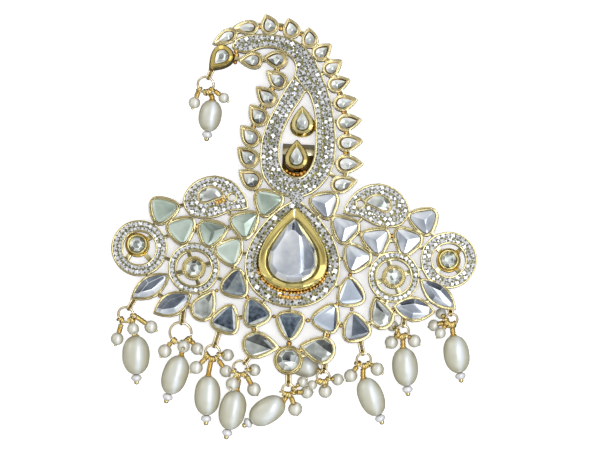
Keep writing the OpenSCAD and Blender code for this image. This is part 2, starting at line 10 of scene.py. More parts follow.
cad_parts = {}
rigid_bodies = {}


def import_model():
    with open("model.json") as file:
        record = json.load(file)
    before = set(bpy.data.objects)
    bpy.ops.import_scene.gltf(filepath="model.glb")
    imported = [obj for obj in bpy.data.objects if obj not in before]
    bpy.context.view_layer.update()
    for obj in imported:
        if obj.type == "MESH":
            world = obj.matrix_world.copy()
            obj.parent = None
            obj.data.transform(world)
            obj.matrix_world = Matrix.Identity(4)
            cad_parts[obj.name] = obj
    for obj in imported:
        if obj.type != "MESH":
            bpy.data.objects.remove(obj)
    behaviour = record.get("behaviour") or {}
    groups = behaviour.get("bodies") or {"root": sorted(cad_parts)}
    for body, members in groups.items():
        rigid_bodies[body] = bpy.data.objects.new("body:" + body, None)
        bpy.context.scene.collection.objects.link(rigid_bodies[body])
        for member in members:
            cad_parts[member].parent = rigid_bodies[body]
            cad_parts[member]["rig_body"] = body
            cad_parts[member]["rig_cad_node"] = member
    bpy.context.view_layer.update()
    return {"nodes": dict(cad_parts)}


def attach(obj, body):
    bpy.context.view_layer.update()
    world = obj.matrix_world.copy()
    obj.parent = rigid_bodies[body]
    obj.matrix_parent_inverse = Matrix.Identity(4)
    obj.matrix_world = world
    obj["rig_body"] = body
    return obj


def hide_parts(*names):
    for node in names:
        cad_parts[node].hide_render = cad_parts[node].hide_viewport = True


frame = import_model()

mm = 0.001
tiny = 1e-6    # points nearer than this are one point, in metres
facing = 0.9    # a face looks up where its normal has more Z than this, and down below minus this
onLevel = 0.05    # how near to a level a face counts as on it, in mm
luck = random.Random(11)
kept = []    # finished pieces: object, slot, the CAD nodes that it stands for


# Selecting and shaping

def deselectAll():
    if bpy.context.mode != "OBJECT":
        bpy.ops.object.mode_set(mode="OBJECT")
    bpy.ops.object.select_all(action="DESELECT")


def pick(*pieces):
    deselectAll()
    for piece in pieces:
        piece.select_set(True)
    bpy.context.view_layer.objects.active = pieces[0]
    return pieces[0]


def editAll(piece):
    pick(piece)
    bpy.ops.object.mode_set(mode="EDIT")
    bpy.ops.mesh.select_mode(type="FACE")
    bpy.ops.mesh.select_all(action="SELECT")


def editFaces(piece, test):
    editAll(piece)
    bpy.ops.mesh.select_all(action="DESELECT")
    bpy.ops.object.mode_set(mode="OBJECT")
    for face in piece.data.polygons:
        face.select = bool(test(face.center / mm, face.normal))
    bpy.ops.object.mode_set(mode="EDIT")


def leaveEdit():
    bpy.ops.object.mode_set(mode="OBJECT")


def joinPieces(pieces, name):
    piece = pick(*pieces)
    if len(pieces) > 1:
        bpy.ops.object.join()
    piece.name = name
    piece.data.name = name
    return piece


def copyNodes(nodes, name, whole=True):    # mended copy of CAD nodes, its flat sides made whole
    pick(*[frame["nodes"][node] for node in nodes])
    bpy.ops.object.duplicate()
    copies = list(bpy.context.selected_objects)
    for copy in copies:
        copy.parent = None
        del copy["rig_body"]
        del copy["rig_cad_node"]
    piece = joinPieces(copies, name)
    editAll(piece)
    bpy.ops.mesh.remove_doubles(threshold=tiny)
    bpy.ops.mesh.customdata_custom_splitnormals_clear()
    if whole:
        bpy.ops.mesh.dissolve_limited(angle_limit=math.radians(0.5))
    leaveEdit()
    piece.data.materials.clear()
    return piece


def pointsOf(piece):    # its vertices, in mm
    return np.array([v.co for v in piece.data.vertices]) / mm


def spotsOf(piece):    # its vertices seen from above, in mm
    return np.array([v.co[:2] for v in piece.data.vertices]) / mm


def middleOf(piece):    # middle of its box, in mm
    places = pointsOf(piece)
    return (places.min(axis=0) + places.max(axis=0)) / 2


def solidsOf(*nodes):    # each solid of the nodes as a copy of its own, from left to right
    piece = copyNodes(nodes, "solid")
    editAll(piece)
    bpy.ops.mesh.separate(type="LOOSE")
    leaveEdit()
    return sorted(bpy.context.selected_objects, key=lambda s: tuple(middleOf(s).round(1)))


def applyModifiers(piece):
    pick(piece)
    for modifier in list(piece.modifiers):
        bpy.ops.object.modifier_apply(modifier=modifier.name)
    return piece


def soften(piece, levels):
    modifier = piece.modifiers.new("soft", "SUBSURF")
    modifier.levels = levels
    modifier.render_levels = levels
    applyModifiers(piece)
    bpy.ops.object.shade_smooth()
    return piece


def shadeByAngle(piece, degrees):
    pick(piece)
    bpy.ops.object.shade_smooth_by_angle(angle=math.radians(degrees))
    return piece


def turnTo(piece, direction, place):    # lays what stands along Z along a direction, at a place in mm
    pick(piece)
    turn = Vector((0, 0, 1)).rotation_difference(Vector(direction))
    piece.data.transform(Matrix.Translation(Vector(place) * mm) @ turn.to_matrix().to_4x4())
    return piece


def applyPlace(piece):
    pick(piece)
    bpy.ops.object.transform_apply(location=True, rotation=True, scale=True)
    return piece


def keep(piece, finish, slotName, *nodes):
    piece.data.materials.clear()
    piece.data.materials.append(finishes[finish])
    kept.append((piece, slotName, nodes))
    return piece


# Outlines of the CAD stones

def outlinesOf(*nodes):    # rings of points in mm, counterclockwise, from left to right
    piece = copyNodes(nodes, "outline")
    rings = [np.array([piece.data.vertices[i].co for i in reversed(face.vertices)])[:, :2] / mm
             for face in piece.data.polygons if face.normal.z < -facing]
    bpy.data.objects.remove(piece)
    return sorted(rings, key=lambda ring: tuple(ring.mean(axis=0).round(1)))


def grown(ring, reach):
    ahead = np.roll(ring, -1, axis=0) - ring
    ahead /= np.linalg.norm(ahead, axis=1)[:, None]
    side = np.stack([ahead[:, 1], -ahead[:, 0]], axis=1)
    both = side + np.roll(side, 1, axis=0)
    return ring + reach * 2 * both / np.maximum((both ** 2).sum(axis=1), 1)[:, None]


def evenlyAlong(ring, pitch):
    closed = np.vstack([ring, ring[:1]])
    lengths = np.concatenate([[0], np.cumsum(np.linalg.norm(np.diff(closed, axis=0), axis=1))])
    count = max(3, round(lengths[-1] / pitch))
    stops = np.linspace(0, lengths[-1], count, endpoint=False)
    return np.stack([np.interp(stops, lengths, closed[:, axis]) for axis in (0, 1)], axis=1)


def openTop(piece):    # leaves the faces that look down, all selected in edit mode
    editFaces(piece, lambda place, normal: normal.z > -facing)
    bpy.ops.mesh.delete(type="FACE")
    bpy.ops.mesh.select_all(action="SELECT")


def extrudeBy(rise):
    bpy.ops.mesh.extrude_region_move(TRANSFORM_OT_translate={"value": (0, 0, rise)})


def faceOutwards():
    bpy.ops.mesh.select_all(action="SELECT")
    bpy.ops.mesh.normals_make_consistent(inside=False)


def blockFrom(piece, grow, low, high):    # upright block over each stone's outline, grown sideways
    openTop(piece)
    bpy.ops.mesh.delete(type="ONLY_FACE")
    bpy.ops.mesh.select_mode(type="EDGE")
    bpy.ops.mesh.select_all(action="SELECT")
    bpy.ops.transform.translate(value=(0, 0, low * mm - min(v.co.z for v in piece.data.vertices)))
    extrudeBy((high - low) * mm)
    faceOutwards()
    bpy.ops.transform.shrink_fatten(value=grow * mm, use_even_offset=True)
    bpy.ops.mesh.fill_holes(sides=0)
    bpy.ops.mesh.normals_make_consistent(inside=False)
    leaveEdit()
    return piece


def editTops(piece, level):
    editFaces(piece, lambda place, normal: normal.z > facing and abs(place.z - level) < onLevel)


def shrinkTop(piece, level, centre, radius, steps):    # rings drawn in towards a centre and lifted, in mm
    editTops(piece, level)
    height = level
    for inward, up in steps:
        height += up
        share = (radius - inward) / radius
        radius -= inward
        extrudeBy(up * mm)
        bpy.ops.transform.resize(value=(share, share, 1),
                                 center_override=(centre[0] * mm, centre[1] * mm, height * mm))
    leaveEdit()


def stepTop(piece, level, steps):    # rings on the top faces, each one further inward and up, in mm
    editTops(piece, level)
    for inward, up in steps:
        bpy.ops.mesh.inset(thickness=inward * mm, depth=up * mm, use_even_offset=True)
    leaveEdit()


def tipWay(piece):    # unit direction from the middle of an outline to its tip
    spots = spotsOf(piece)
    arms = spots - spots.mean(axis=0)
    far = arms[np.argmax((arms ** 2).sum(axis=1).round(3))]
    return far / np.linalg.norm(far)


def dropShape(piece):    # middle and radius of a drop's round end
    way = tipWay(piece)
    spots = spotsOf(piece)
    arms = spots - spots.mean(axis=0)
    radius = float(np.ptp(arms @ np.array([-way[1], way[0]]))) / 2
    tip = spots.mean(axis=0) + way * float((arms @ way).max())
    return tip - way * (float(np.ptp(arms @ way)) - radius), radius


# Finishes

def addNode(tree, kind, values=None, **settings):
    node = tree.nodes.new(kind)
    for name, value in settings.items():
        setattr(node, name, value)
    for socket, value in (values or {}).items():
        node.inputs[socket].default_value = value
    return node


def newFinish(name, sockets):
    finish = bpy.data.materials.new(name)
    finish.use_nodes = True
    shader = finish.node_tree.nodes["Principled BSDF"]
    for socket, value in sockets.items():
        shader.inputs[socket].default_value = value
    return finish, finish.node_tree, shader


def noiseOn(tree, scale, detail=2, rough=0.5):
    place = addNode(tree, "ShaderNodeTexCoord")
    noise = addNode(tree, "ShaderNodeTexNoise", {"Scale": scale, "Detail": detail, "Roughness": rough})
    tree.links.new(place.outputs["Object"], noise.inputs["Vector"])
    return noise.outputs["Fac"]


def rangeOf(tree, source, low, high, toLow, toHigh):
    sockets = {"From Min": low, "From Max": high, "To Min": toLow, "To Max": toHigh}
    node = addNode(tree, "ShaderNodeMapRange", sockets)
    tree.links.new(source, node.inputs["Value"])
    return node.outputs["Result"]


noiseSpan = (0.3, 0.7)    # where most values of a noise lie


def cloudOn(tree, scale, amount, span=noiseSpan, detail=2):    # patches that add or take up to an amount
    return rangeOf(tree, noiseOn(tree, scale, detail), *span, -amount, amount)


def sumOf(tree, one, two):
    node = addNode(tree, "ShaderNodeMath", operation="ADD", use_clamp=True)
    tree.links.new(one, node.inputs[0])
    tree.links.new(two, node.inputs[1])
    return node.outputs["Value"]


def rampOf(tree, source, stops):    # stops: place and colour
    ramp = addNode(tree, "ShaderNodeValToRGB")
    points = ramp.color_ramp.elements
    while len(points) < len(stops):
        points.new(0.5)
    for point, (place, colour) in zip(points, stops):
        point.position = place
        point.color = (*colour, 1)
    tree.links.new(source, ramp.inputs["Fac"])
    return ramp.outputs["Color"]


def addBump(tree, shader, source, strength, depth):
    bump = addNode(tree, "ShaderNodeBump", {"Strength": strength, "Distance": depth * mm})
    tree.links.new(source, bump.inputs["Height"])
    tree.links.new(bump.outputs["Normal"], shader.inputs["Normal"])


goldShared = {"coat": 0.0, "coatRoughness": 0.08, "patches": 0.2, "patchScale": 300, "wearScale": 900,
              "wearDetail": 4, "wearRough": 0.6, "grainScale": 2000, "grain": 0.15, "grainDepth": 0.05}


def goldFinish(name, look):    # plating with painted shade: darker in the recesses and low down, painted paler on the heights, worn in patches
    look = {**goldShared, **look}
    finish, tree, shader = newFinish(name, {"Metallic": 1.0, "Coat Weight": look["coat"],
                                            "Coat Roughness": look["coatRoughness"]})
    place = addNode(tree, "ShaderNodeTexCoord")
    split = addNode(tree, "ShaderNodeSeparateXYZ")
    tree.links.new(place.outputs["Object"], split.inputs["Vector"])
    height = rangeOf(tree, split.outputs["Z"], look["paintedShadeAt"] * mm, look["paintedLightAt"] * mm, 0, 1)
    tone = sumOf(tree, height, cloudOn(tree, look["patchScale"], look["patches"], detail=3))
    tree.links.new(rampOf(tree, tone, look["colours"]), shader.inputs["Base Color"])
    wear = noiseOn(tree, look["wearScale"], look["wearDetail"], look["wearRough"])
    tree.links.new(rangeOf(tree, wear, *noiseSpan, *look["roughness"]), shader.inputs["Roughness"])
    addBump(tree, shader, noiseOn(tree, look["grainScale"]), look["grain"], look["grainDepth"])
    return finish


goldLooks = {    # levels in mm at which the painted shade is deepest and the painted light palest
    "frameGold": {
        "colours": [(0, (0.24, 0.15, 0.04)), (0.45, (0.54, 0.40, 0.14)), (1, (0.80, 0.70, 0.38))],
        "paintedShadeAt": 7.6, "paintedLightAt": 9.6, "roughness": (0.12, 0.26), "patchScale": 260, "grainScale": 2500,
        "grain": 0.25},
    "polishedGold": {
        "colours": [(0, (0.20, 0.14, 0.03)), (0.45, (0.68, 0.50, 0.12)), (1, (0.98, 0.80, 0.28))],
        "paintedShadeAt": 8.4, "paintedLightAt": 11.6, "roughness": (0.07, 0.16), "patchScale": 170, "wearScale": 700,
        "grainScale": 1500, "grain": 0.12, "coat": 0.2},
    "rimGold": {
        "colours": [(0, (0.20, 0.14, 0.04)), (0.5, (0.50, 0.38, 0.13)), (1, (0.83, 0.72, 0.40))],
        "paintedShadeAt": 9.2, "paintedLightAt": 9.62, "roughness": (0.1, 0.22), "patches": 0.14, "grainScale": 2200,
        "grain": 0.2},
    "pearGold": {
        "colours": [(0, (0.60, 0.38, 0.13)), (0.5, (0.80, 0.60, 0.28)), (1, (0.86, 0.77, 0.46))],
        "paintedShadeAt": 8.9, "paintedLightAt": 9.62, "roughness": (0.12, 0.24), "patches": 0.16, "grainScale": 2200,
        "grain": 0.2},
    "jointGold": {
        "colours": [(0, (0.38, 0.15, 0.02)), (0.6, (0.78, 0.42, 0.09)), (1, (0.95, 0.64, 0.22))],
        "paintedShadeAt": 7.5, "paintedLightAt": 9.9, "roughness": (0.16, 0.32), "patches": 0.3, "patchScale": 600,
        "wearScale": 1200, "grainScale": 3000, "grain": 0.3},
    "groundGold": {
        "colours": [(0, (0.17, 0.15, 0.05)), (0.6, (0.43, 0.40, 0.16)), (1, (0.66, 0.62, 0.30))],
        "paintedShadeAt": 8.2, "paintedLightAt": 9.3, "roughness": (0.3, 0.5), "patches": 0.3, "patchScale": 700,
        "wearScale": 1200, "grainScale": 3000, "grain": 0.3},
    "wireGold": {
        "colours": [(0, (0.48, 0.26, 0.04)), (0.45, (0.90, 0.62, 0.17)), (1, (1.0, 0.82, 0.36))],
        "paintedShadeAt": 2.6, "paintedLightAt": 7.4, "roughness": (0.12, 0.28), "patches": 0.3, "patchScale": 400,
        "wearScale": 1000, "grainScale": 2400, "grain": 0.2},
    "ringGold": {
        "colours": [(0, (0.70, 0.48, 0.18)), (0.5, (0.90, 0.74, 0.42)), (1, (0.96, 0.86, 0.62))],
        "paintedShadeAt": 4.0, "paintedLightAt": 8.0, "roughness": (0.08, 0.2)},
    "ballGold": {
        "colours": [(0, (0.84, 0.66, 0.24)), (0.5, (0.94, 0.80, 0.38)), (1, (1.0, 0.92, 0.60))],
        "paintedShadeAt": 1.0, "paintedLightAt": 6.0, "roughness": (0.1, 0.2), "patchScale": 500},
    # the drop settings and cups: polished gold whose painted light is reached lower down, so they are
    # painted brighter
    "dropGold": {
        "colours": [(0, (0.26, 0.18, 0.04)), (0.45, (0.76, 0.59, 0.18)), (1, (1.0, 0.87, 0.40))],
        "paintedShadeAt": 7.4, "paintedLightAt": 10.0, "roughness": (0.08, 0.18), "patches": 0.16, "patchScale": 200,
        "wearScale": 700, "grainScale": 1500, "grain": 0.12, "coat": 0.2},
    # the strap painted darker low down, a painted shade under the settings
    "clipGold": {
        "colours": [(0, (0.58, 0.42, 0.16)), (0.6, (0.88, 0.75, 0.42)), (1, (0.97, 0.90, 0.64))],
        "paintedShadeAt": 1.5, "paintedLightAt": 6.4, "roughness": (0.3, 0.45), "patchScale": 200, "wearScale": 500,
        "grainScale": 1800, "grain": 0.3},
}

glassSkin = {    # the metallic share stands for the foil behind the glass
    "Metallic": 0.4, "Roughness": 0.1, "IOR": 1.52, "Coat Weight": 1.0, "Coat Roughness": 0.03,
    "Coat IOR": 1.55}
glassSet = {"stops": (0, 0.3, 0.65, 1), "ripple": 0.06, "rippleDepth": 0.1}


def glassFinish(name, look):    # cut glass over foil: every facet painted with its own light or shade, standing for its reflections, clouded a little within
    finish, tree, shader = newFinish(name, glassSkin)
    facet = addNode(tree, "ShaderNodeAttribute", attribute_name="facetPaintedLight")
    tone = sumOf(tree, facet.outputs["Fac"], cloudOn(tree, look["cloudScale"], look["cloud"]))
    if "tint" in look:
        tint = addNode(tree, "ShaderNodeAttribute", attribute_name="tint")
        tone = sumOf(tree, tone, rangeOf(tree, tint.outputs["Fac"], 0, 1, -look["tint"], look["tint"]))
    colour = rampOf(tree, tone, list(zip(glassSet["stops"], look["colours"])))
    tree.links.new(colour, shader.inputs["Base Color"])
    ripple = noiseOn(tree, look["cloudScale"] * 3, 1)
    addBump(tree, shader, ripple, glassSet["ripple"], glassSet["rippleDepth"])
    return finish


glassLooks = {    # colours from dark to bright, picked by the painted light of each facet
    "lavenderGlass": {
        "colours": [(0.03, 0.04, 0.06), (0.17, 0.20, 0.25), (0.46, 0.50, 0.57), (0.90, 0.93, 0.97)],
        "cloud": 0.12, "cloudScale": 260},
    "blueGlass": {
        "colours": [(0.03, 0.04, 0.07), (0.16, 0.20, 0.27), (0.42, 0.49, 0.64), (0.84, 0.92, 1.0)],
        "cloud": 0.1, "cloudScale": 260},
    "sageGlass": {
        "colours": [(0.05, 0.07, 0.055), (0.24, 0.30, 0.25), (0.56, 0.67, 0.57), (0.85, 0.97, 0.88)],
        "cloud": 0.14, "cloudScale": 220},
    "slateGlass": {
        "colours": [(0.03, 0.04, 0.06), (0.16, 0.21, 0.27), (0.38, 0.42, 0.40), (0.80, 0.84, 0.84)],
        "cloud": 0.16, "cloudScale": 800},
    "clearGlass": {
        "colours": [(0.04, 0.045, 0.045), (0.18, 0.195, 0.18), (0.46, 0.49, 0.46), (0.90, 0.93, 0.90)],
        "cloud": 0.16, "cloudScale": 420},
    "pavingGlass": {
        "colours": [(0.05, 0.05, 0.02), (0.19, 0.20, 0.14), (0.48, 0.49, 0.48), (0.91, 0.92, 0.96)],
        "cloud": 0.15, "cloudScale": 900, "tint": 0.28},
}

pearlSkin = {
    "Coat Weight": 1.0, "Coat Roughness": 0.26, "Coat IOR": 1.9, "Coat Tint": (0.93, 0.96, 1.0, 1),
    "Specular IOR Level": 0.7, "Sheen Weight": 0.12, "Sheen Roughness": 0.4,
    "Sheen Tint": (0.95, 0.95, 0.8, 1)}
pearlSet = {"cloudScale": 180, "cloud": 0.08, "cloudSpan": (0.35, 0.65), "skinScale": 420, "skin": 0.12,
            "skinDepth": 0.15}


def pearlFinish(name, look):    # nacre: a warm body under a cool clear skin, painted paler where it faces up and with a painted highlight streak
    finish, tree, shader = newFinish(name, {**pearlSkin, "Roughness": look["roughness"]})
    cloud = cloudOn(tree, pearlSet["cloudScale"], pearlSet["cloud"], pearlSet["cloudSpan"])
    paintedPearlLight = addNode(tree, "ShaderNodeAttribute", attribute_name="paintedPearlLight")
    tone = sumOf(tree, cloud, paintedPearlLight.outputs["Fac"])
    tree.links.new(rampOf(tree, tone, look["colours"]), shader.inputs["Base Color"])
    addBump(tree, shader, noiseOn(tree, pearlSet["skinScale"]), pearlSet["skin"], pearlSet["skinDepth"])
    return finish


# colours from the painted shade at the sides to the painted highlight
pearlLooks = {
    "ovalPearl": {"roughness": 0.34, "colours": [(0, (0.40, 0.34, 0.16)), (0.5, (0.57, 0.545, 0.42)),
                                                 (0.78, (0.69, 0.70, 0.64)), (1, (0.86, 0.86, 0.91))]},
    "seedPearl": {"roughness": 0.3, "colours": [(0, (0.36, 0.32, 0.20)), (0.5, (0.64, 0.60, 0.48)),
                                                (0.8, (0.80, 0.77, 0.69)), (1, (0.88, 0.87, 0.90))]},
    "whiteBead": {"roughness": 0.22, "colours": [(0, (0.50, 0.46, 0.42)), (0.6, (0.76, 0.73, 0.72)),
                                                 (1, (0.92, 0.90, 0.92))]},
}

finishes = {}
for make, looks in ((goldFinish, goldLooks), (glassFinish, glassLooks), (pearlFinish, pearlLooks)):
    finishes.update({name: make(name, look) for name, look in looks.items()})
print("finishes:", len(finishes))


# Frame: the soldered plates under everything, their upright walls crowned

frameLook = {"rimTop": 9.5, "shoulder": 0.1, "crown": 0.07, "smooth": 35}
for node, name in (("base_frame", "base_plate"), ("crest_frame", "crest_plate")):
    plate = copyNodes([node], name, whole=False)
    stepTop(plate, frameLook["rimTop"], [(frameLook["shoulder"], frameLook["crown"])])
    shadeByAngle(plate, frameLook["smooth"])
    keep(plate, "frameGold", "frame_gold", node)
print("plates:", len(kept))


# Bezels: a double rim round every three-cornered, leaf and comma stone

trillionNodes = ["trillion_stone_%d" % i for i in range(1, 20)]
bezelFoot = 7.15    # a little inside the plates
narrowRim = [(0.07, 0.20), (0.13, 0.06), (0.06, -0.30), (0.14, -0.06), (0.06, 0.26), (0.12, 0.06),
             (0.08, -0.05), (0.06, -0.25), (0.03, -0.3)]
doubleRim = [(1.3 * inward, up) for inward, up in narrowRim]
singleRim = [(0.08, 0.16), (0.12, 0.06), (0.14, -0.02), (0.10, -0.14), (0.04, -0.3)]
bezelLooks = [
    {"name": "three_cornered_bezels", "nodes": trillionNodes, "grow": 1.08, "rim": doubleRim, "top": 9.45},
    {"name": "leaf_bezels", "nodes": ["leaf_stones"], "grow": 0.72, "rim": narrowRim, "top": 9.45},
    {"name": "comma_bezels", "nodes": ["comma_stones"], "grow": 1.08, "rim": doubleRim, "top": 9.45},
    {"name": "round_bezel", "nodes": ["bottom_round_stone"], "grow": 1.2,
     "rim": [(0.10, 0.20)] + doubleRim, "top": 9.4},
    {"name": "mango_bezels", "nodes": ["mango_stones"], "grow": 0.6, "rim": singleRim, "top": 9.5},
    {"name": "flower_bezels", "nodes": ["flower_stones"], "grow": 1.02,
     "rim": [(0.12, 0.15), (0.16, 0.05)] + narrowRim, "top": 9.5},
]
for look in bezelLooks:
    bezel = blockFrom(copyNodes(look["nodes"], look["name"]), look["grow"], bezelFoot, look["top"])
    stepTop(bezel, look["top"], look["rim"])
    keep(soften(bezel, 1), "rimGold", "frame_gold")
crestLook = {"grow": 0.82, "top": 9.4, "rim": [(0.08, 0.16), (0.14, 0.06), (0.12, -0.04), (0.40, -0.26),
                                               (0.40, -0.2), (0.05, -0.3)]}
pearBezels = []
for stone in solidsOf("crest_outer_stones", "crest_inner_stones"):
    centre, radius = dropShape(stone)
    bezel = blockFrom(stone, crestLook["grow"], bezelFoot, crestLook["top"])
    shrinkTop(bezel, crestLook["top"], centre, radius + crestLook["grow"], crestLook["rim"])
    pearBezels.append(soften(bezel, 1))
keep(joinPieces(pearBezels, "crest_bezels"), "pearGold", "frame_gold")
print("bezels:", len(bezelLooks) + len(pearBezels))

# Polished settings: a foot, a leaning wall, a rounded rim and a bright inner slope

dropRim = [(0.08, 0.10), (0.18, 0.04), (0.06, 0.3), (0.20, 1.4), (0.08, 0.18), (0.07, 0.02), (0.10, -0.12),
           (0.55, -0.30), (0.62, -0.36), (0.06, -0.4)]
settingLooks = [    # the round end, levels of foot and wall, rings (inward, up) and the rim's shift along Y
    {"name": "centre_collet", "node": "center_setting", "finish": "polishedGold", "centre": (-0.1, -0.5),
     "radius": 9.8, "low": 8.2, "top": 8.5, "shift": 0.5,
     "rim": [(0.04, 0.12), (0.04, 0.02), (0.02, 0.25), (0.05, 1.7), (0.05, 1.3), (0.08, 0.16), (0.08, 0.02),
             (0.12, -0.12), (0.80, -0.36), (0.80, -0.40), (0.70, -0.40), (0.1, -0.6)]},
    {"name": "upper_collet", "node": "upper_drop_setting", "finish": "dropGold", "centre": (0.7, 36.9),
     "radius": 3.6, "low": 8.2, "top": 8.5, "shift": 0.3, "rim": dropRim},
    {"name": "lower_collet", "node": "lower_drop_setting", "finish": "dropGold", "centre": (-0.5, 27.2),
     "radius": 3.7, "low": 7.0, "top": 7.3, "shift": 0.3, "rim": dropRim},
    {"name": "tip_collet", "node": "tip_setting", "finish": "polishedGold", "centre": (-22.7, 55.1),
     "radius": 3.3, "low": 8.2, "top": 8.6, "shift": 0,
     "rim": [(0.08, 0.10), (0.08, 0.04), (0.05, 0.3), (0.15, 1.3), (0.08, 0.18), (0.07, 0.02), (0.10, -0.12),
             (0.50, -0.30), (0.50, -0.32), (0.05, -0.4)]},
]
rimDepth = 0.3    # what lies less than this under the top is shifted
for look in settingLooks:
    collet = blockFrom(copyNodes([look["node"]], look["name"]), 0, look["low"], look["top"])
    shrinkTop(collet, look["top"], look["centre"], look["radius"], look["rim"])
    if look["shift"]:
        rimLevel = pointsOf(collet)[:, 2].max() - rimDepth
        editFaces(collet, lambda place, normal: place.z > rimLevel)
        bpy.ops.transform.translate(value=(0, look["shift"] * mm, 0))
        leaveEdit()
    keep(soften(collet, 2), look["finish"], "polished_gold", look["node"])

cupLook = {"foot": 3.4, "low": 8.2, "top": 8.6,
           "rim": [(0.10, 0.10), (0.25, 0.03), (0.08, 0.3), (0.15, 1.1), (0.12, 0.18), (0.14, 0.02),
                   (0.16, -0.12), (0.30, -0.5), (0.08, -0.4)]}


def shapeCup(stone):
    middle = middleOf(stone)
    level = (cupLook["low"] + cupLook["top"]) / 2
    bpy.ops.mesh.primitive_cylinder_add(vertices=40, radius=cupLook["foot"] * mm,
                                        depth=(cupLook["top"] - cupLook["low"]) * mm,
                                        location=(middle[0] * mm, middle[1] * mm, level * mm))
    cup = applyPlace(bpy.context.object)
    shrinkTop(cup, cupLook["top"], middle, cupLook["foot"], cupLook["rim"])
    return soften(cup, 2)


cupStones = solidsOf("cup_stones")
cups = joinPieces([shapeCup(stone) for stone in cupStones], "medallion_collets")
keep(cups, "dropGold", "polished_gold", "medallion_cups")
pick(*cupStones)
bpy.ops.object.delete()
print("settings:", len(settingLooks) + len(cupStones))


# Stones: a block over the CAD outline, cut by planes as a cutter grinds facets

def shrinkStone(stone, shares):
    middle = middleOf(stone)
    editAll(stone)
    bpy.ops.transform.resize(value=(*shares, 1), center_override=tuple(middle * mm))
    leaveEdit()


def stoneBlock(stone, high):
    openTop(stone)
    extrudeBy(high * mm - min(v.co.z for v in stone.data.vertices))
    faceOutwards()
    leaveEdit()


def pointDirection(stone):    # direction of the stone's tip from its middle, in degrees
    way = tipWay(stone)
    return math.degrees(math.atan2(way[1], way[0]))


# painted light on the facets: ridges painted bright as glints, sides painted dark, and a painted fade across
# each facet
facetLook = {"ridge": 0.07, "ridgeAngle": 6, "paintedRidgeGlint": 0.85, "ridgeRise": 0.6, "paintedSideShade": 0.3,
             "samePlane": 0.998, "paintedFade": 0.16, "paintedFadeTowards": (60, 210), "smooth": 20}


def cutFacets(stone, cuts):    # each cut: direction, tilt, level where it meets the side, painted light of the facet
    places = spotsOf(stone)
    planes = []
    editAll(stone)
    for direction, tilt, level, tone in cuts:
        way = np.array([math.cos(math.radians(direction)), math.sin(math.radians(direction))])
        reach = float((places @ way).max())
        normal = Vector((*(way * math.sin(math.radians(tilt))), math.cos(math.radians(tilt))))
        bpy.ops.mesh.select_all(action="SELECT")
        bpy.ops.mesh.bisect(plane_co=Vector((*(way * reach), level)) * mm, plane_no=normal, use_fill=True,
                            clear_outer=True, threshold=tiny)
        planes.append((normal, tone))
    leaveEdit()
    ridges = stone.modifiers.new("ridges", "BEVEL")
    ridges.width = facetLook["ridge"] * mm
    ridges.segments = 1
    ridges.limit_method = "ANGLE"
    ridges.angle_limit = math.radians(facetLook["ridgeAngle"])
    applyModifiers(stone)
    # painted light and shade for every face, fading across it towards a random side
    tones = stone.data.attributes.new("facetPaintedLight", "FLOAT", "CORNER")
    for face in stone.data.polygons:
        near = max(planes, key=lambda plane: plane[0].dot(face.normal))
        tone = facetLook["paintedRidgeGlint"] if face.normal.z > facetLook["ridgeRise"] else facetLook["paintedSideShade"]
        if near[0].dot(face.normal) > facetLook["samePlane"]:
            tone = near[1]
        arms = [stone.data.vertices[i].co - face.center for i in face.vertices]
        size = max(arm.length for arm in arms)
        turn = math.radians(luck.uniform(*facetLook["paintedFadeTowards"]))
        way = Vector((math.cos(turn), math.sin(turn), 0))
        for corner, arm in zip(face.loop_indices, arms):
            tones.data[corner].value = tone + facetLook["paintedFade"] * arm.dot(way) / size
    shadeByAngle(stone, facetLook["smooth"])


def sides(start, directions, tilt, level, tones):
    return [(start + turn, tilt, level, tone) for turn, tone in zip(directions, tones)]


threeSides = (61, 180, -61)
pearSides = (48, 120, 180, -120, -48)
leafSides = (78, 102, -78, -102)
roundSides = tuple(range(0, 360, 45))


def pyramidCuts(start, tones, lean):    # narrow border painted bright where its facet is painted dark, three broad facets up to a point, ridges between with painted light of their own
    ridges = [(tones[0] + tones[2]) / 2 + 0.12, tones[1] - 0.1, tones[0] - 0.12]
    return (sides(start, threeSides, 52, 9.42, [0.95 - 0.5 * tone for tone in tones])
            + sides(start, threeSides, lean, 9.72, tones)
            + sides(start, (4, 118, -124), lean - 2.5, 9.93, ridges))


def tableCuts(start, tones, table, lean=0):    # wide border round a nearly flat table
    return sides(start, threeSides, 36, 9.42, tones) + [(lean, 3.0, 9.78, table)]


splitTones = {7: 0.05, 19: 0.76}    # stones with one wide facet beside the table, and its painted light
trillionSet = {"high": 11, "lean": 15, "steepLean": 20, "steep": (11,),
               "split": (17, 9.45)}    # tilt and level of the wide facet
trillionLooks = {    # painted light of the three sides, then of the table where there is one
    1: ((0.60, 0.72, 0.52), 0.65), 2: ((0.52, 0.66, 0.95), 0.71), 3: ((0.30, 0.58, 0.16), None),
    4: ((0.38, 0.64, 0.34), None), 5: ((0.80, 0.58, 0.25), 0.52), 6: ((0.98, 0.85, 0.92), 0.80),
    7: ((0.20, 0.50, 0.60), 0.44), 8: ((0.80, 0.62, 0.30), 0.16), 9: ((0.45, 0.70, 1.00), 0.18),
    10: ((0.50, 0.35, 0.95), 0.22), 11: ((0.66, 0.60, 0.84), None), 12: ((0.70, 1.00, 0.88), None),
    13: ((0.72, 1.00, 0.90), None), 14: ((0.62, 0.96, 0.80), None), 15: ((0.66, 0.98, 0.78), None),
    16: ((0.62, 0.92, 0.76), None), 17: ((0.92, 0.86, 0.10), 0.82), 18: ((0.98, 0.88, 0.14), 0.80),
    19: ((0.85, 0.35, 0.30), 0.20),
}


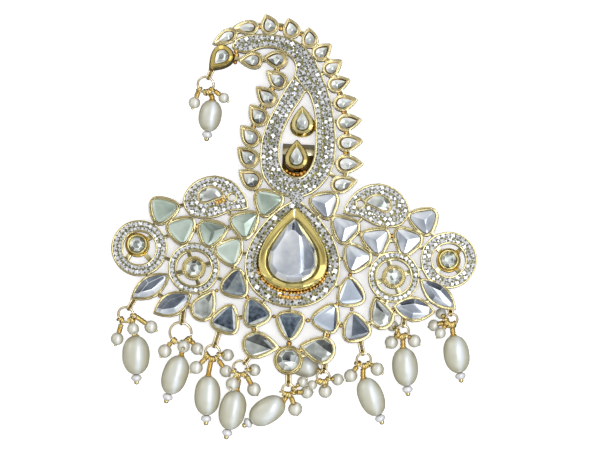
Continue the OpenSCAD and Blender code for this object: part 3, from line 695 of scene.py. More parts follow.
def cutTrillion(number, finish, slotName):    # the steep ones catch no light from the strip lamp
    name = "trillion_stone_%d" % number
    stone = solidsOf(name)[0]
    stone.name = "cut_" + name
    tones, table = trillionLooks[number]
    start = pointDirection(stone)
    stoneBlock(stone, trillionSet["high"])
    lean = trillionSet["steepLean" if number in trillionSet["steep"] else "lean"]
    cuts = tableCuts(start, tones, table, start) if table else pyramidCuts(start, tones, lean)
    if number in splitTones:
        cuts.append((start + threeSides[0], *trillionSet["split"], splitTones[number]))
    cutFacets(stone, cuts)
    keep(stone, finish, slotName, name)


trillionGlass = [    # first and last stone, finish and slot
    (1, 6, "sageGlass", "sage_glass"), (7, 10, "slateGlass", "slate_glass"),
    (11, 16, "lavenderGlass", "lavender_glass"), (17, 18, "blueGlass", "lavender_glass"),
    (19, 19, "lavenderGlass", "lavender_glass"),
]
for first, last, finish, slotName in trillionGlass:
    for number in range(first, last + 1):
        cutTrillion(number, finish, slotName)


def pearCuts(shade):
    def cuts(start):    # painted shade: the facets towards the lower right are painted dark, the crown facet painted bright
        tones = [shade + 0.32 * math.cos(math.radians(start + turn - 125)) + luck.uniform(-0.2, 0.2)
                 for turn in pearSides]
        crown = sides(start, (75, -105), 16, 9.5, (1.0, shade - 0.1))
        return sides(start, pearSides, 30, 9.2, tones) + crown
    return cuts


# facets painted light or dark at random as painted glints, with an optional painted dark facet
def roundCuts(low, high, table, dark=()):
    def cuts(start):
        tones = [luck.uniform(0.2, 0.95) for turn in roundSides]
        return sides(start, roundSides, 38, low, tones) + [(start, 3, high, table), *dark]
    return cuts


def dropCuts(low, high, table):
    def cuts(start):
        tones = (0.75, 0.35, 0.55, 0.8, 0.9)
        return sides(start, pearSides, 34, low, tones) + [(start + 90, 4, high, table)]
    return cuts


def leafCuts(start):
    turn = 0 if math.sin(math.radians(start + 90)) > 0 else 180
    left = math.tan(math.radians(start)) > 0
    table = 0.24 if left else 0.62    # the left ones are painted darker, a painted shade
    tones = (0.2, 0.08, 0.95, 0.8) if left else (0.25, 0.1, 0.75, 0.5)
    return (sides(start + turn, leafSides, 28, 9.45, tones)
            + sides(start, (0, 180), 30, 9.5, (0.6, 0.75)) + [(start, 3, 9.95, table)])


# a painted dark facet towards the upper right of each comma
def commaCuts(start):
    return (sides(start, (60, 120, 180, -120, -60), 34, 9.25, (0.6, 0.95, 0.85, 0.45, 0.7))
            + [(70, 9, 9.35, 0.06), (start + 90, 4, 9.55, 0.66)])


def mangoCuts(start):
    return (sides(start, (40, 90, 140, 180, -140, -90, -40), 32, 9.3, (0.5, 0.9, 0.4, 0.8, 0.3, 0.7, 0.85))
            + [(start, 4, 9.6, 0.7)])


centreCuts = [    # painted light: steep facets painted bright on the left, broad steps painted grey on the right, a painted dark facet at the tip
    (60, 52, 11.5, 0.34), (35, 50, 11.4, 0.62), (5, 50, 11.3, 0.70), (-25, 50, 11.3, 0.66),
    (-55, 50, 11.3, 0.95), (-85, 48, 11.3, 0.80), (-115, 48, 11.3, 1.00), (-145, 50, 11.3, 0.72),
    (178, 52, 11.3, 0.88), (150, 50, 11.4, 0.68), (125, 50, 11.5, 0.92),
    (48, 27, 11.95, 0.20), (18, 29, 11.9, 0.20), (-12, 29, 11.9, 0.14), (-42, 28, 11.9, 0.45),
    (-75, 30, 12.05, 0.58), (-105, 32, 12.15, 1.00), (-135, 33, 12.2, 0.97), (-165, 33, 12.2, 0.62),
    (165, 33, 12.2, 0.72), (138, 30, 12.2, 0.62), (84, 20, 11.95, 0.05), (104, 22, 12.0, 0.52),
    (185, 2, 12.95, 0.80), (8, 14, 12.15, 0.36),
]
stoneShared = {"finish": "clearGlass", "slot": "clear_glass", "shares": (1, 1), "high": 11.5}
stoneLooks = [    # shares: what is left of the outline each way, high: level of the uncut block
    {"name": "cut_outer_stones", "node": "crest_outer_stones", "cuts": pearCuts(0.88), "shares": (0.8, 0.8),
     "slot": "lavender_glass"},
    {"name": "cut_inner_stones", "node": "crest_inner_stones", "cuts": pearCuts(0.58), "shares": (0.8, 0.8),
     "slot": "lavender_glass"},
    {"name": "cut_leaf_stones", "node": "leaf_stones", "cuts": leafCuts, "finish": "lavenderGlass",
     "slot": "lavender_glass"},
    {"name": "cut_comma_stones", "node": "comma_stones", "cuts": commaCuts, "slot": "lavender_glass"},
    {"name": "cut_mango_stones", "node": "mango_stones", "cuts": mangoCuts},
    {"name": "cut_flower_stones", "node": "flower_stones", "cuts": roundCuts(9.3, 10.05, 0.46)},
    # one facet painted dark towards the upper right
    {"name": "cut_bottom_stone", "node": "bottom_round_stone",
     "cuts": roundCuts(9.3, 10.1, 0.66, [(65, 10, 9.66, 0.08)])},
    {"name": "cut_cup_stones", "node": "cup_stones", "cuts": roundCuts(9.75, 10.35, 0.36)},
    {"name": "cut_upper_stone", "node": "upper_drop_stone", "cuts": dropCuts(9.95, 10.5, 0.84),
     "shares": (0.95, 0.95)},
    {"name": "cut_lower_stone", "node": "lower_drop_stone", "cuts": dropCuts(8.75, 9.3, 0.8),
     "shares": (0.92, 0.92)},
    {"name": "cut_tip_stone", "node": "tip_stone", "cuts": dropCuts(9.95, 10.5, 0.5), "shares": (0.92, 0.92),
     "slot": "sage_glass"},
    {"name": "cut_center_stone", "node": "center_stone", "cuts": lambda start: centreCuts,
     "finish": "lavenderGlass", "slot": "lavender_glass", "shares": (0.9, 0.96), "high": 14},
]
for row in stoneLooks:
    look = {**stoneShared, **row}
    stones = solidsOf(look["node"])
    for stone in stones:
        start = pointDirection(stone)
        shrinkStone(stone, look["shares"])
        stoneBlock(stone, look["high"])
        cutFacets(stone, look["cuts"](start))
    keep(joinPieces(stones, look["name"]), look["finish"], look["slot"], look["node"])
print("stones:", len(trillionLooks) + len(stoneLooks), "groups")


# Paving: rows of small chatons along the edges of every paved ground, with gold grains between them

def loopsOf(node):    # edges of the paved ground as closed rings, in mm
    piece = copyNodes([node], "edge", whole=False)
    openTop(piece)
    leaveEdit()
    faces = piece.data.polygons
    uses = Counter(key for face in faces for key in face.edge_keys)
    ahead = {}
    for face in faces:
        corners = list(face.vertices)
        for one, two in zip(corners, corners[1:] + corners[:1]):
            if uses[tuple(sorted((one, two)))] == 1:
                ahead[two] = one
    spots = spotsOf(piece)
    loops = []
    while ahead:
        start = min(ahead)
        ring = [start]
        step = ahead.pop(start)
        while step != start:
            ring.append(step)
            step = ahead.pop(step)
        loops.append(spots[ring])
    bpy.data.objects.remove(piece)
    return loops


def clearance(spots, loops):    # distance to the nearest edge, below zero outside the ground
    best = np.full(len(spots), 1e9)
    inside = np.zeros(len(spots), bool)
    for ring in loops:
        for one, two in zip(ring, np.roll(ring, -1, axis=0)):
            span = two - one
            share = np.clip(((spots - one) @ span) / max(float(span @ span), 1e-12), 0, 1)
            best = np.minimum(best, np.linalg.norm(spots - one - share[:, None] * span, axis=1))
            if one[1] != two[1]:
                crosses = (one[1] > spots[:, 1]) != (two[1] > spots[:, 1])
                at = one[0] + (spots[:, 1] - one[1]) * (two[0] - one[0]) / (two[1] - one[1])
                inside ^= crosses & (spots[:, 0] < at)
    return np.where(inside, best, -best)


fillLook = {    # edgeStep in mm, tries for each pitch, room as a share of the margin, the rest of the pitch
    "edgeStep": 0.6, "rowStep": 0.9, "tries": 5, "room": 0.93, "apart": 0.47, "grainReach": 1.35,
    "grainApart": 0.5}


def fillRows(loops, pitch, margin, rows, taken):    # adds x, y and radius of stones in rows along the edges
    for row in range(rows):
        for ring in loops:
            edge = evenlyAlong(ring, fillLook["edgeStep"])
            line = grown(edge, -(margin + row * pitch * fillLook["rowStep"]))
            line = evenlyAlong(line, pitch / fillLook["tries"])
            for spot, room in zip(line, clearance(line, loops)):
                if room < margin * fillLook["room"]:
                    continue
                others = np.array(taken) if taken else np.array([[1e3, 1e3, 0]])
                gaps = np.linalg.norm(others[:, :2] - spot, axis=1) - others[:, 2]
                if gaps.min() > pitch * fillLook["apart"]:
                    taken.append((*spot, pitch / 2))


def spotsBetween(spots, pitch):    # places of the grains, in the corners between three chatons
    places = spots[:, :2]
    reach = fillLook["grainReach"] * pitch
    grains = [(0, 0)]
    for i, one in enumerate(places):
        near = [two for two in places[i + 1:] if np.linalg.norm(one - two) < reach]
        for j, two in enumerate(near):
            for three in near[j + 1:]:
                middle = (one + two + three) / 3
                gap = np.linalg.norm(np.array(grains) - middle, axis=1).min()
                if np.linalg.norm(two - three) < reach and gap > fillLook["grainApart"] * pitch:
                    grains.append(middle)
    return np.array(grains[1:])


def scatter(name, template, places, sizes, turns=None, tints=None):    # a copy of the template at each place
    cloud = bpy.data.meshes.new(name)
    cloud.from_pydata([tuple(place * mm) for place in places], [], [])
    turns = turns or [(0, 0, 0)] * len(places)
    for label, kind, field, values in (("turn", "FLOAT_VECTOR", "vector", turns),
                                       ("size", "FLOAT", "value", sizes),
                                       ("tint", "FLOAT", "value", tints or sizes)):
        for item, value in zip(cloud.attributes.new(label, kind, "POINT").data, values):
            setattr(item, field, value)
    piece = bpy.data.objects.new(name, cloud)
    bpy.context.scene.collection.objects.link(piece)
    group = bpy.data.node_groups.new(name, "GeometryNodeTree")
    for way in ("INPUT", "OUTPUT"):
        group.interface.new_socket("Geometry", in_out=way, socket_type="NodeSocketGeometry")
    start = addNode(group, "NodeGroupInput")
    end = addNode(group, "NodeGroupOutput")
    source = addNode(group, "GeometryNodeObjectInfo", {"Object": template})
    turn = addNode(group, "GeometryNodeInputNamedAttribute", {"Name": "turn"}, data_type="FLOAT_VECTOR")
    euler = addNode(group, "FunctionNodeEulerToRotation")
    size = addNode(group, "GeometryNodeInputNamedAttribute", {"Name": "size"})
    copies = addNode(group, "GeometryNodeInstanceOnPoints")
    real = addNode(group, "GeometryNodeRealizeInstances")
    for one, two in ((start.outputs[0], copies.inputs["Points"]),
                     (source.outputs["Geometry"], copies.inputs["Instance"]),
                     (turn.outputs["Attribute"], euler.inputs["Euler"]),
                     (euler.outputs["Rotation"], copies.inputs["Rotation"]),
                     (size.outputs["Attribute"], copies.inputs["Scale"]),
                     (copies.outputs["Instances"], real.inputs["Geometry"]),
                     (real.outputs["Geometry"], end.inputs[0])):
        group.links.new(one, two)
    piece.modifiers.new("copies", "NODES").node_group = group
    return applyModifiers(piece)


def atLevel(spots, level):
    return [np.array([x, y, level]) for x, y in spots]


# painted light of the chaton facets: the table painted bright, the crown painted light and dark by turns as
# glints, the sides painted dark
chatonLook = {"depth": 0.7, "table": 0.4, "crown": 0.3, "paintedTableGlint": 0.86, "paintedSideShade": 0.1,
              "tones": (1.0, 0.3, 0.95, 0.12, 0.9, 0.55, 0.85, 0.05)}


def shapeChaton():    # eight-sided cut stone of unit radius, its facets painted light and dark by turns
    depth = chatonLook["depth"] * mm
    bpy.ops.mesh.primitive_cylinder_add(vertices=8, radius=mm, depth=depth, location=(0, 0, -depth / 2))
    chaton = applyPlace(bpy.context.object)
    editFaces(chaton, lambda place, normal: normal.z > facing)
    bpy.ops.mesh.inset(thickness=chatonLook["table"] * mm, depth=chatonLook["crown"] * mm)
    leaveEdit()
    tones = chaton.data.attributes.new("facetPaintedLight", "FLOAT", "FACE")
    for face in chaton.data.polygons:
        eighth = int(math.degrees(math.atan2(face.center.y, face.center.x)) // 45) % 8
        tone = chatonLook["tones"][eighth] if face.normal.z > 0.1 else chatonLook["paintedSideShade"]
        tones.data[face.index].value = chatonLook["paintedTableGlint"] if face.normal.z > facing else tone
    return chaton


def shapeGrain():    # half a ball of unit radius on a closed foot
    bpy.ops.mesh.primitive_uv_sphere_add(segments=8, ring_count=6, radius=mm)
    grain = bpy.context.object
    editFaces(grain, lambda place, normal: place.z < -0.1)
    bpy.ops.mesh.dissolve_faces()
    leaveEdit()
    bpy.ops.object.shade_smooth()
    return grain


pavingLooks = [
    {"name": "crest", "node": "crest_pave", "pitch": 1.46, "margin": 0.55, "rows": 4, "tints": (0.15, 0.8),
     "bridge": [(-1.3, 16.3), (0.1, 16.5), (1.3, 16.3), (-0.7, 15.2), (0.6, 15.3)]},
    {"name": "halo", "node": "halo_pave", "pitch": 2.0, "margin": 0.85, "rows": 1, "tints": (0.05, 0.75)},
    {"name": "medallion", "node": "medallion_pave", "pitch": 1.4, "margin": 0.45, "rows": 3,
     "tints": (0.4, 1)},
]
pavingSet = {"groundDrop": -0.45, "chatonTop": 9.4, "uneven": 0.05, "lean": 0.16, "bridgeTop": 9.6,
             "grainLevel": 9.45, "grain": 0.15, "sizes": (1.0, 1.1),
             "passes": ((1, 0), (0.72, 3), (0.45, 7))}    # share of the pitch, and how many rows more
chaton = shapeChaton()
grain = shapeGrain()
for look in pavingLooks:
    ground = copyNodes([look["node"]], look["name"] + "_ground", whole=False)
    editFaces(ground, lambda place, normal: normal.z > facing)
    bpy.ops.transform.translate(value=(0, 0, pavingSet["groundDrop"] * mm))
    leaveEdit()
    keep(ground, "groundGold", "frame_gold")
    taken = []
    loops = loopsOf(look["node"])
    for share, extra in pavingSet["passes"]:
        fillRows(loops, look["pitch"] * share, look["margin"] * share, look["rows"] + extra, taken)
    spots = np.array(taken)
    uneven, lean = pavingSet["uneven"], pavingSet["lean"]
    places = [np.array([x, y, pavingSet["chatonTop"] + luck.uniform(-uneven, uneven)])
              for x, y, radius in spots]
    for x, y in look.get("bridge", ()):
        places.append(np.array([x, y, pavingSet["bridgeTop"]]))
        spots = np.vstack([spots, [x, y, look["pitch"] / 2]])
    turns = [(luck.uniform(-lean, lean), luck.uniform(-lean, lean), luck.uniform(0, math.tau))
             for spot in spots]
    sizes = [radius * luck.uniform(*pavingSet["sizes"]) for x, y, radius in spots]
    tints = [luck.uniform(*look["tints"]) for spot in spots]
    stones = scatter(look["name"] + "_chatons", chaton, places, sizes, turns, tints)
    keep(stones, "pavingGlass", "paving", look["node"])
    between = atLevel(spotsBetween(spots, look["pitch"]), pavingSet["grainLevel"])
    keep(scatter(look["name"] + "_grains", grain, between, [pavingSet["grain"]] * len(between)), "rimGold",
         "frame_gold")
    print("paving of the", look["name"] + ":", len(spots), "chatons,", len(between), "grains")


# Beading: small grains along the bezels of the crest and of the flowers

beadingLooks = [
    {"name": "inner_beading", "nodes": ["crest_inner_stones"], "reach": 0.62, "pitch": 0.5, "size": 0.23,
     "level": 9.56, "finish": "rimGold"},
    {"name": "outer_beading", "nodes": ["crest_outer_stones"], "reach": 0.28, "pitch": 0.42, "size": 0.16,
     "level": 9.45, "finish": "rimGold"},
    {"name": "flower_beading", "nodes": ["flower_stones"], "reach": 0.85, "pitch": 0.6, "size": 0.28,
     "level": 9.72, "finish": "pearGold"},
]
for look in beadingLooks:
    places = atLevel([spot for ring in outlinesOf(*look["nodes"])
                      for spot in evenlyAlong(grown(ring, look["reach"]), look["pitch"])], look["level"])
    beads = scatter(look["name"], grain, places, [look["size"]] * len(places))
    keep(beads, look["finish"], "frame_gold")
    print(look["name"] + ":", len(places))
pegLook = {"reach": 2.5, "pitch": 0.95, "size": 0.55, "sizes": (0.55, 1.15), "level": 9.35, "below": -4}
pegLine = evenlyAlong(grown(outlinesOf("center_stone")[0], pegLook["reach"]), pegLook["pitch"])
pegs = atLevel([spot for spot in pegLine if spot[1] < pegLook["below"]], pegLook["level"])
sizes = [pegLook["size"] * luck.uniform(*pegLook["sizes"]) for peg in pegs]
keep(scatter("centre_pegs", grain, pegs, sizes), "jointGold", "frame_gold")

# Solder: a blob wherever two bezels almost touch

solderLook = {    # lumps: beside the tip, under the lower setting, by the left mango stone, under the centre
    "reach": 0.8, "gap": 1.7, "level": 8.75, "step": 0.4, "longest": 150, "sizes": (0.55, 0.85),
    "lumps": [(-18.9, 56.7, 8.9), (-18.7, 55.6, 9.0), (-18.4, 54.5, 8.8), (-17.6, 57.4, 9.0),
              (-19.0, 53.6, 8.6), (-3.1, 23.7, 7.9), (-2.1, 23.1, 7.9), (-1.0, 22.8, 7.9), (0.1, 22.8, 7.9),
              (1.1, 23.1, 7.9), (2.0, 23.7, 7.9), (-22.1, 13.8, 9.3), (-21.2, 14.1, 9.4), (-20.3, 14.5, 9.3),
              (-3.2, -11.4, 9.3), (-2.1, -11.7, 9.4), (-1.0, -11.8, 9.3), (0.1, -11.9, 9.4),
              (1.2, -11.8, 9.3), (2.3, -11.6, 9.4)]}
rings = outlinesOf(*trillionNodes, "leaf_stones", "comma_stones", "bottom_round_stone", "crest_outer_stones",
                   "crest_inner_stones")
rings = [evenlyAlong(grown(ring, solderLook["reach"]), solderLook["step"]) for ring in rings]
rings += [evenlyAlong(loop, solderLook["step"]) for look in pavingLooks for loop in loopsOf(look["node"])]
blobs = []
for i, one in enumerate(rings):
    for two in rings[:i]:
        gaps = np.linalg.norm(one[:, None] - two[None], axis=2)
        at = np.unravel_index(np.argmin(gaps), gaps.shape)
        if gaps[at] < solderLook["gap"] and len(one) + len(two) < solderLook["longest"]:
            blobs.append((*((one[at[0]] + two[at[1]]) / 2), solderLook["level"]))
blobs += solderLook["lumps"]
sizes = [luck.uniform(*solderLook["sizes"]) for blob in blobs]
turns = [(0, 0, luck.uniform(0, math.tau)) for blob in blobs]
keep(scatter("solder", grain, [np.array(blob) for blob in blobs], sizes, turns), "jointGold", "frame_gold")
print("solder blobs:", len(blobs))
bpy.data.objects.remove(chaton)
bpy.data.objects.remove(grain)


# Pearls and beads: smooth, a little uneven, with a bore at each end

beadLooks = {    # faces round and along, radius of the bore, unevenness and the size of its bumps in mm
    "pearl": {"around": 40, "along": 28, "bore": 0.4, "uneven": 0.16, "bump": 4},
    "seed": {"around": 24, "along": 16, "bore": 0.25, "uneven": 0.12, "bump": 2},
    "spacer": {"around": 20, "along": 12, "bore": 0.25},
}
boreLook = {"cap": 1.8, "lip": 0.3, "lipDepth": 0.1, "depth": 2}    # cap in rows of faces, the rest in bores


def shapeBead(name, width, length, look):
    bpy.ops.mesh.primitive_uv_sphere_add(segments=look["around"], ring_count=look["along"],
                                         radius=length / 2 * mm)
    bead = bpy.context.object
    bead.name = name
    editAll(bead)
    bpy.ops.transform.resize(value=(width / length, width / length, 1))
    leaveEdit()
    bore = look["bore"]
    capLevel = length / 2 * math.cos(boreLook["cap"] * math.pi / look["along"])
    for end in (1, -1):
        editFaces(bead, lambda place, normal: place.z * end > capLevel)
        bpy.ops.mesh.dissolve_faces()
        bpy.ops.mesh.inset(thickness=bore * boreLook["lip"] * mm, depth=-bore * boreLook["lipDepth"] * mm)
        extrudeBy(-end * bore * boreLook["depth"] * mm)
        leaveEdit()
    bpy.ops.object.shade_smooth()
    return bead


def bluntenBead(bead, length, power):    # fuller shoulders than an ellipse has
    for corner in bead.data.vertices:
        share = min(abs(corner.co.z) / (length / 2 * mm), 0.97)
        widen = math.sqrt((1 - share ** power) / (1 - share ** 2))
        corner.co.x *= widen
        corner.co.y *= widen
    return bead


def roughenBead(bead, look):
    texture = bpy.data.textures.new(bead.name, "CLOUDS")
    texture.noise_scale = look["bump"] * mm
    modifier = bead.modifiers.new("uneven", "DISPLACE")
    modifier.texture = texture
    modifier.strength = look["uneven"] * mm
    modifier.mid_level = 0.5
    return applyModifiers(bead)


# how strongly the top is painted pale, and where and how wide the painted highlight streak lies
paintedPearlLightLook = {"body": 0.55, "paintedStreak": 0.4, "paintedStreakAt": 0.25, "paintedStreakWidth": 0.24}


def paintPearlLight(bead):    # painted light: a bead is painted palest where it faces up, with a painted cool highlight band right of its middle
    paintedPearlLight = bead.data.attributes.new("paintedPearlLight", "FLOAT", "POINT")
    for item, corner in zip(paintedPearlLight.data, bead.data.vertices):
        paintedStreak = math.exp(-((corner.normal.x - paintedPearlLightLook["paintedStreakAt"]) / paintedPearlLightLook["paintedStreakWidth"]) ** 2)
        item.value = paintedPearlLightLook["body"] * abs(corner.normal.z) + paintedPearlLightLook["paintedStreak"] * paintedStreak
    return bead


def axisOf(places):    # middle of some points, and their directions from longest to shortest
    middle = places.mean(axis=0)
    directions = np.linalg.svd(places - middle, full_matrices=False)[2]
    return middle, directions


pearlShape = {"width": 0.965, "shoulder": 2.3}    # share of the CAD's width, and power of the fuller outline
pearls = []    # middle, direction of the far end, length
for i in range(10):
    node = "oval_pearl_%d" % i
    places = pointsOf(frame["nodes"][node])
    longest, second = axisOf(places)[1][:2]
    way = longest * (-1 if longest[2] > 0 else 1)
    middle = middleOf(frame["nodes"][node])
    length, width = float(np.ptp((places - middle) @ way)), float(np.ptp((places - middle) @ second))
    pearl = shapeBead("pearl_%d" % i, width * pearlShape["width"], length, beadLooks["pearl"])
    roughenBead(bluntenBead(pearl, length, pearlShape["shoulder"]), beadLooks["pearl"])
    paintPearlLight(turnTo(pearl, way, middle))
    keep(pearl, "ovalPearl", "pearl", node)
    pearls.append((middle, way, length))

seeds = [(middleOf(solid), float(np.ptp(pointsOf(solid)[:, 0])) / 2) for solid in solidsOf("seed_pearls")]
bpy.ops.object.delete()
print("pearls:", len(pearls), "seeds:", len(seeds))


# Wires: rings with a cut, loops round them, wraps, pins, caps and ball ends

wireLook = {"loopRadius": 0.76, "loopWire": 0.27, "wrapRadius": 0.5, "wrapWire": 0.23, "wrapPitch": 0.42,
            "wrapSwell": 1.12, "pin": 0.24, "pinGap": 0.25, "pinInside": 0.6, "rodStart": 0.3,
            "seedBall": 0.42, "seedBallDrop": 0.1, "pearlBall": 0.72, "pearlBallDrop": 0.35,
            "capOverlap": 0.05, "smooth": 40}
ringLook = {"wire": 0.35, "gap": 9, "around": 10, "steps": 44}
spacerLook = {"room": 1.7, "width": 3.0, "length": 2.1}
tangleLook = {"turns": 7, "from": 200, "to": 340, "tilt": 0.5, "sizes": (0.75, 1.1)}
pinLook = {"pearlReach": 5, "fusedPoints": 700, "fused": 3}    # three pins of the right drop are one solid


def bendRing(radius, middle, normal, gapAt):    # a wire spun nearly all the way round
    bpy.ops.mesh.primitive_circle_add(vertices=ringLook["around"], radius=ringLook["wire"] * mm,
                                      fill_type="NGON", location=(radius * mm, 0, 0),
                                      rotation=(math.pi / 2, 0, 0))
    ring = applyPlace(bpy.context.object)
    editAll(ring)
    bpy.ops.mesh.spin(steps=ringLook["steps"], angle=math.radians(360 - ringLook["gap"]), center=(0, 0, 0),
                      axis=(0, 0, 1))
    bpy.ops.mesh.select_all(action="SELECT")
    bpy.ops.mesh.remove_doubles(threshold=tiny)
    faceOutwards()
    leaveEdit()
    ring.data.transform(Matrix.Rotation(gapAt, 4, "Z"))
    return shadeByAngle(turnTo(ring, normal, middle), wireLook["smooth"])


def layTorus(major, minor, middle, axis, segments=14, around=7):
    bpy.ops.mesh.primitive_torus_add(major_segments=segments, minor_segments=around, major_radius=major * mm,
                                     minor_radius=minor * mm)
    loop = bpy.context.object
    bpy.ops.object.shade_smooth()
    return turnTo(loop, axis, middle)


def layRod(start, end):
    span = end - start
    bpy.ops.mesh.primitive_cylinder_add(vertices=10, radius=wireLook["pin"] * mm,
                                        depth=np.linalg.norm(span) * mm)
    return shadeByAngle(turnTo(bpy.context.object, span, (start + end) / 2), wireLook["smooth"])


def layBall(radius, middle, segments=14, rings=10):
    bpy.ops.mesh.primitive_uv_sphere_add(segments=segments, ring_count=rings, radius=radius * mm)
    ball = bpy.context.object
    editFaces(ball, lambda place, normal: normal.z > 0.95)
    bpy.ops.transform.translate(value=(0, 0, -0.06 * radius * mm))
    leaveEdit()
    bpy.ops.object.shade_smooth()
    return turnTo(ball, (0, 0, 1), middle)


def wrapWire(start, end):    # turns of thin wire round the rod, side by side, every second one wider
    span = end - start
    length = float(np.linalg.norm(span))
    way = span / length
    turns = max(1, int((length - wireLook["loopRadius"]) / wireLook["wrapPitch"]))
    lean = way + 0.12 * np.array([0.3, -0.5, 0.6])
    return [layTorus(wireLook["wrapRadius"] * (wireLook["wrapSwell"] if i % 2 else 1), wireLook["wrapWire"],
                     end - way * wireLook["wrapPitch"] * (i + 0.5), lean, 12, 6) for i in range(turns)]


rings = []    # middle, normal, radius
for solid in solidsOf("jump_rings"):
    middle, directions = axisOf(pointsOf(solid))
    radius = float(np.ptp(pointsOf(solid) @ directions[0])) / 2 - ringLook["wire"]
    rings.append((middle, directions[2], radius))
bpy.ops.object.delete()
bentRings = [bendRing(radius, middle, normal, luck.uniform(0, math.tau)) for middle, normal, radius in rings]
keep(joinPieces(bentRings, "bent_rings"), "ringGold", "wire_gold", "jump_rings")


def ringSpot(ring, near):    # nearest place on the ring's own circle, and the ring's direction there
    middle, normal, radius = ring
    arm = near - middle
    arm = arm - normal * float(arm @ normal)
    arm = arm / np.linalg.norm(arm)
    return middle + arm * radius, np.cross(normal, arm)


def nearestRing(places):
    gaps = [min(np.linalg.norm(places - ringSpot(ring, place)[0], axis=1).min() for place in places[::20])
            for ring in rings]
    return rings[int(np.argmin(gaps))]


def loopSpot(ring, places):    # where a pin's loop goes round its ring
    gaps = np.array([np.linalg.norm(place - ringSpot(ring, place)[0]) for place in places])
    return ringSpot(ring, places[gaps < max(1, gaps.min() + 0.3)].mean(axis=0))


def hangWire(at, along, top):    # loop, rod and wraps of a pin, down to its bead
    wires.append(layTorus(wireLook["loopRadius"], wireLook["loopWire"], at, along))
    wires.append(layRod(at + (top - at) * wireLook["rodStart"], top))
    wires.extend(wrapWire(at, top))


def hangPearl(ring, places, pearl):
    middle, way, length = pearl
    top = middle - way * (length / 2 + wireLook["pinGap"])
    tail = middle + way * (length / 2 + spacerLook["room"])
    hangWire(*loopSpot(ring, places), top)
    wires.append(layRod(middle - way * (length / 2 - wireLook["pinInside"]), top))
    wires.append(layRod(middle + way * (length / 2 - wireLook["pinInside"]), tail))
    balls.append(layBall(wireLook["pearlBall"], tail + way * wireLook["pearlBallDrop"]))
    caps.append((middle - way * (length / 2 - wireLook["capOverlap"]), -way))


def hangSeed(ring, places, seed):
    middle, radius = seed
    at, along = loopSpot(ring, places)
    way = (middle - at) / np.linalg.norm(middle - at)
    hangWire(at, along, middle - way * radius)
    balls.append(layBall(wireLook["seedBall"], middle + way * (radius + wireLook["seedBallDrop"]), 10, 8))


wires, balls = [], []
caps = []    # place and direction
pins = solidsOf("head_pins")
for pin in pins:
    places = pointsOf(pin)
    ring = nearestRing(places)
    reach = [sum(np.linalg.norm(places - middle + end * way * length / 2, axis=1).min() for end in (1, -1))
             for middle, way, length in pearls]
    if min(reach) < pinLook["pearlReach"]:    # the long pin of an oval pearl
        hangPearl(ring, places, pearls[int(np.argmin(reach))])
        continue
    hung = sorted(seeds, key=lambda seed: abs(np.linalg.norm(places - seed[0], axis=1).min() - seed[1]))
    hung = hung[:pinLook["fused"] if len(places) > pinLook["fusedPoints"] else 1]
    owner = np.argmin([np.linalg.norm(places - middle, axis=1) for middle, radius in hung], axis=0)
    for i, seed in enumerate(hung):
        hangSeed(ring, places[owner == i], seed)
for middle, normal, radius in rings:    # loose turns of wire round the hung side of each ring
    for turn in range(tangleLook["turns"]):
        angle = math.radians(luck.uniform(tangleLook["from"], tangleLook["to"]))
        arm = np.array([math.cos(angle), math.sin(angle), -0.3])
        at, along = ringSpot((middle, normal, radius), middle + arm)
        tilt = along + tangleLook["tilt"] * np.array([luck.uniform(-1, 1) for axis in range(3)])
        size = wireLook["loopRadius"] * luck.uniform(*tangleLook["sizes"])
        wires.append(layTorus(size, wireLook["loopWire"], at, tilt))
print("wires:", len(wires))
pick(*pins)
bpy.ops.object.delete()
keep(joinPieces(wires, "wrapped_pins"), "wireGold", "wire_gold", "head_pins")
keep(joinPieces(balls, "pin_balls"), "ballGold", "wire_gold")

linkLook = {"radius": 0.58, "wire": 0.3, "reach": 0.5, "level": 7.6}
hangPoints = [    # where each ring's link leaves the frame: x, y
    (-25.3, 51.8), (-43.2, -13.2), (-29.9, -16.3), (-19.6, -21.8), (-10.8, -28.6), (0.2, -33.0),
    (10.2, -29.6), (19.6, -22.4), (31.8, -15.0), (44.2, -11.6)]


def layLink(start, end):    # long closed loop of thick wire round both of its ends
    span = end - start
    stretch = max(0.1, float(np.linalg.norm(span)) + 2 * linkLook["reach"] - 2 * linkLook["radius"])
    bpy.ops.mesh.primitive_torus_add(major_segments=24, minor_segments=10, rotation=(math.pi / 2, 0, 0),
                                     major_radius=linkLook["radius"] * mm,
                                     minor_radius=linkLook["wire"] * mm)
    link = applyPlace(bpy.context.object)
    for half in (1, -1):
        editFaces(link, lambda place, normal: place.z * half > onLevel)
        bpy.ops.transform.translate(value=(0, 0, half * stretch / 2 * mm))
        leaveEdit()
    bpy.ops.object.shade_smooth()
    return turnTo(link, span, start + span / 2)


links = []
for hang in atLevel(hangPoints, linkLook["level"]):
    ring = min(rings, key=lambda ring: np.linalg.norm(ring[0] - hang) - ring[2])
    links.append(layLink(ringSpot(ring, hang)[0], hang))
keep(joinPieces(links, "ring_links"), "ringGold", "frame_gold")


capLook = {"base": 1.15, "top": 0.42, "height": 0.55, "petals": 12, "rim": 0.03, "swell": 0.05, "sink": 0.6}


def shapeCap(place, way):    # small scalloped cap on the hung end of a pearl
    bpy.ops.mesh.primitive_cone_add(vertices=capLook["petals"] * 2, radius1=capLook["base"] * mm,
                                    radius2=capLook["top"] * mm, depth=capLook["height"] * mm)
    cap = bpy.context.object
    editFaces(cap, lambda spot, normal: abs(normal.z) < facing)
    bpy.ops.mesh.inset(thickness=capLook["rim"] * mm, depth=capLook["swell"] * mm, use_individual=True)
    leaveEdit()
    soften(cap, 1)
    return turnTo(cap, way, place + way * capLook["height"] / 2 * capLook["sink"])


keep(joinPieces([shapeCap(place, way) for place, way in caps], "bead_caps"), "wireGold", "wire_gold")

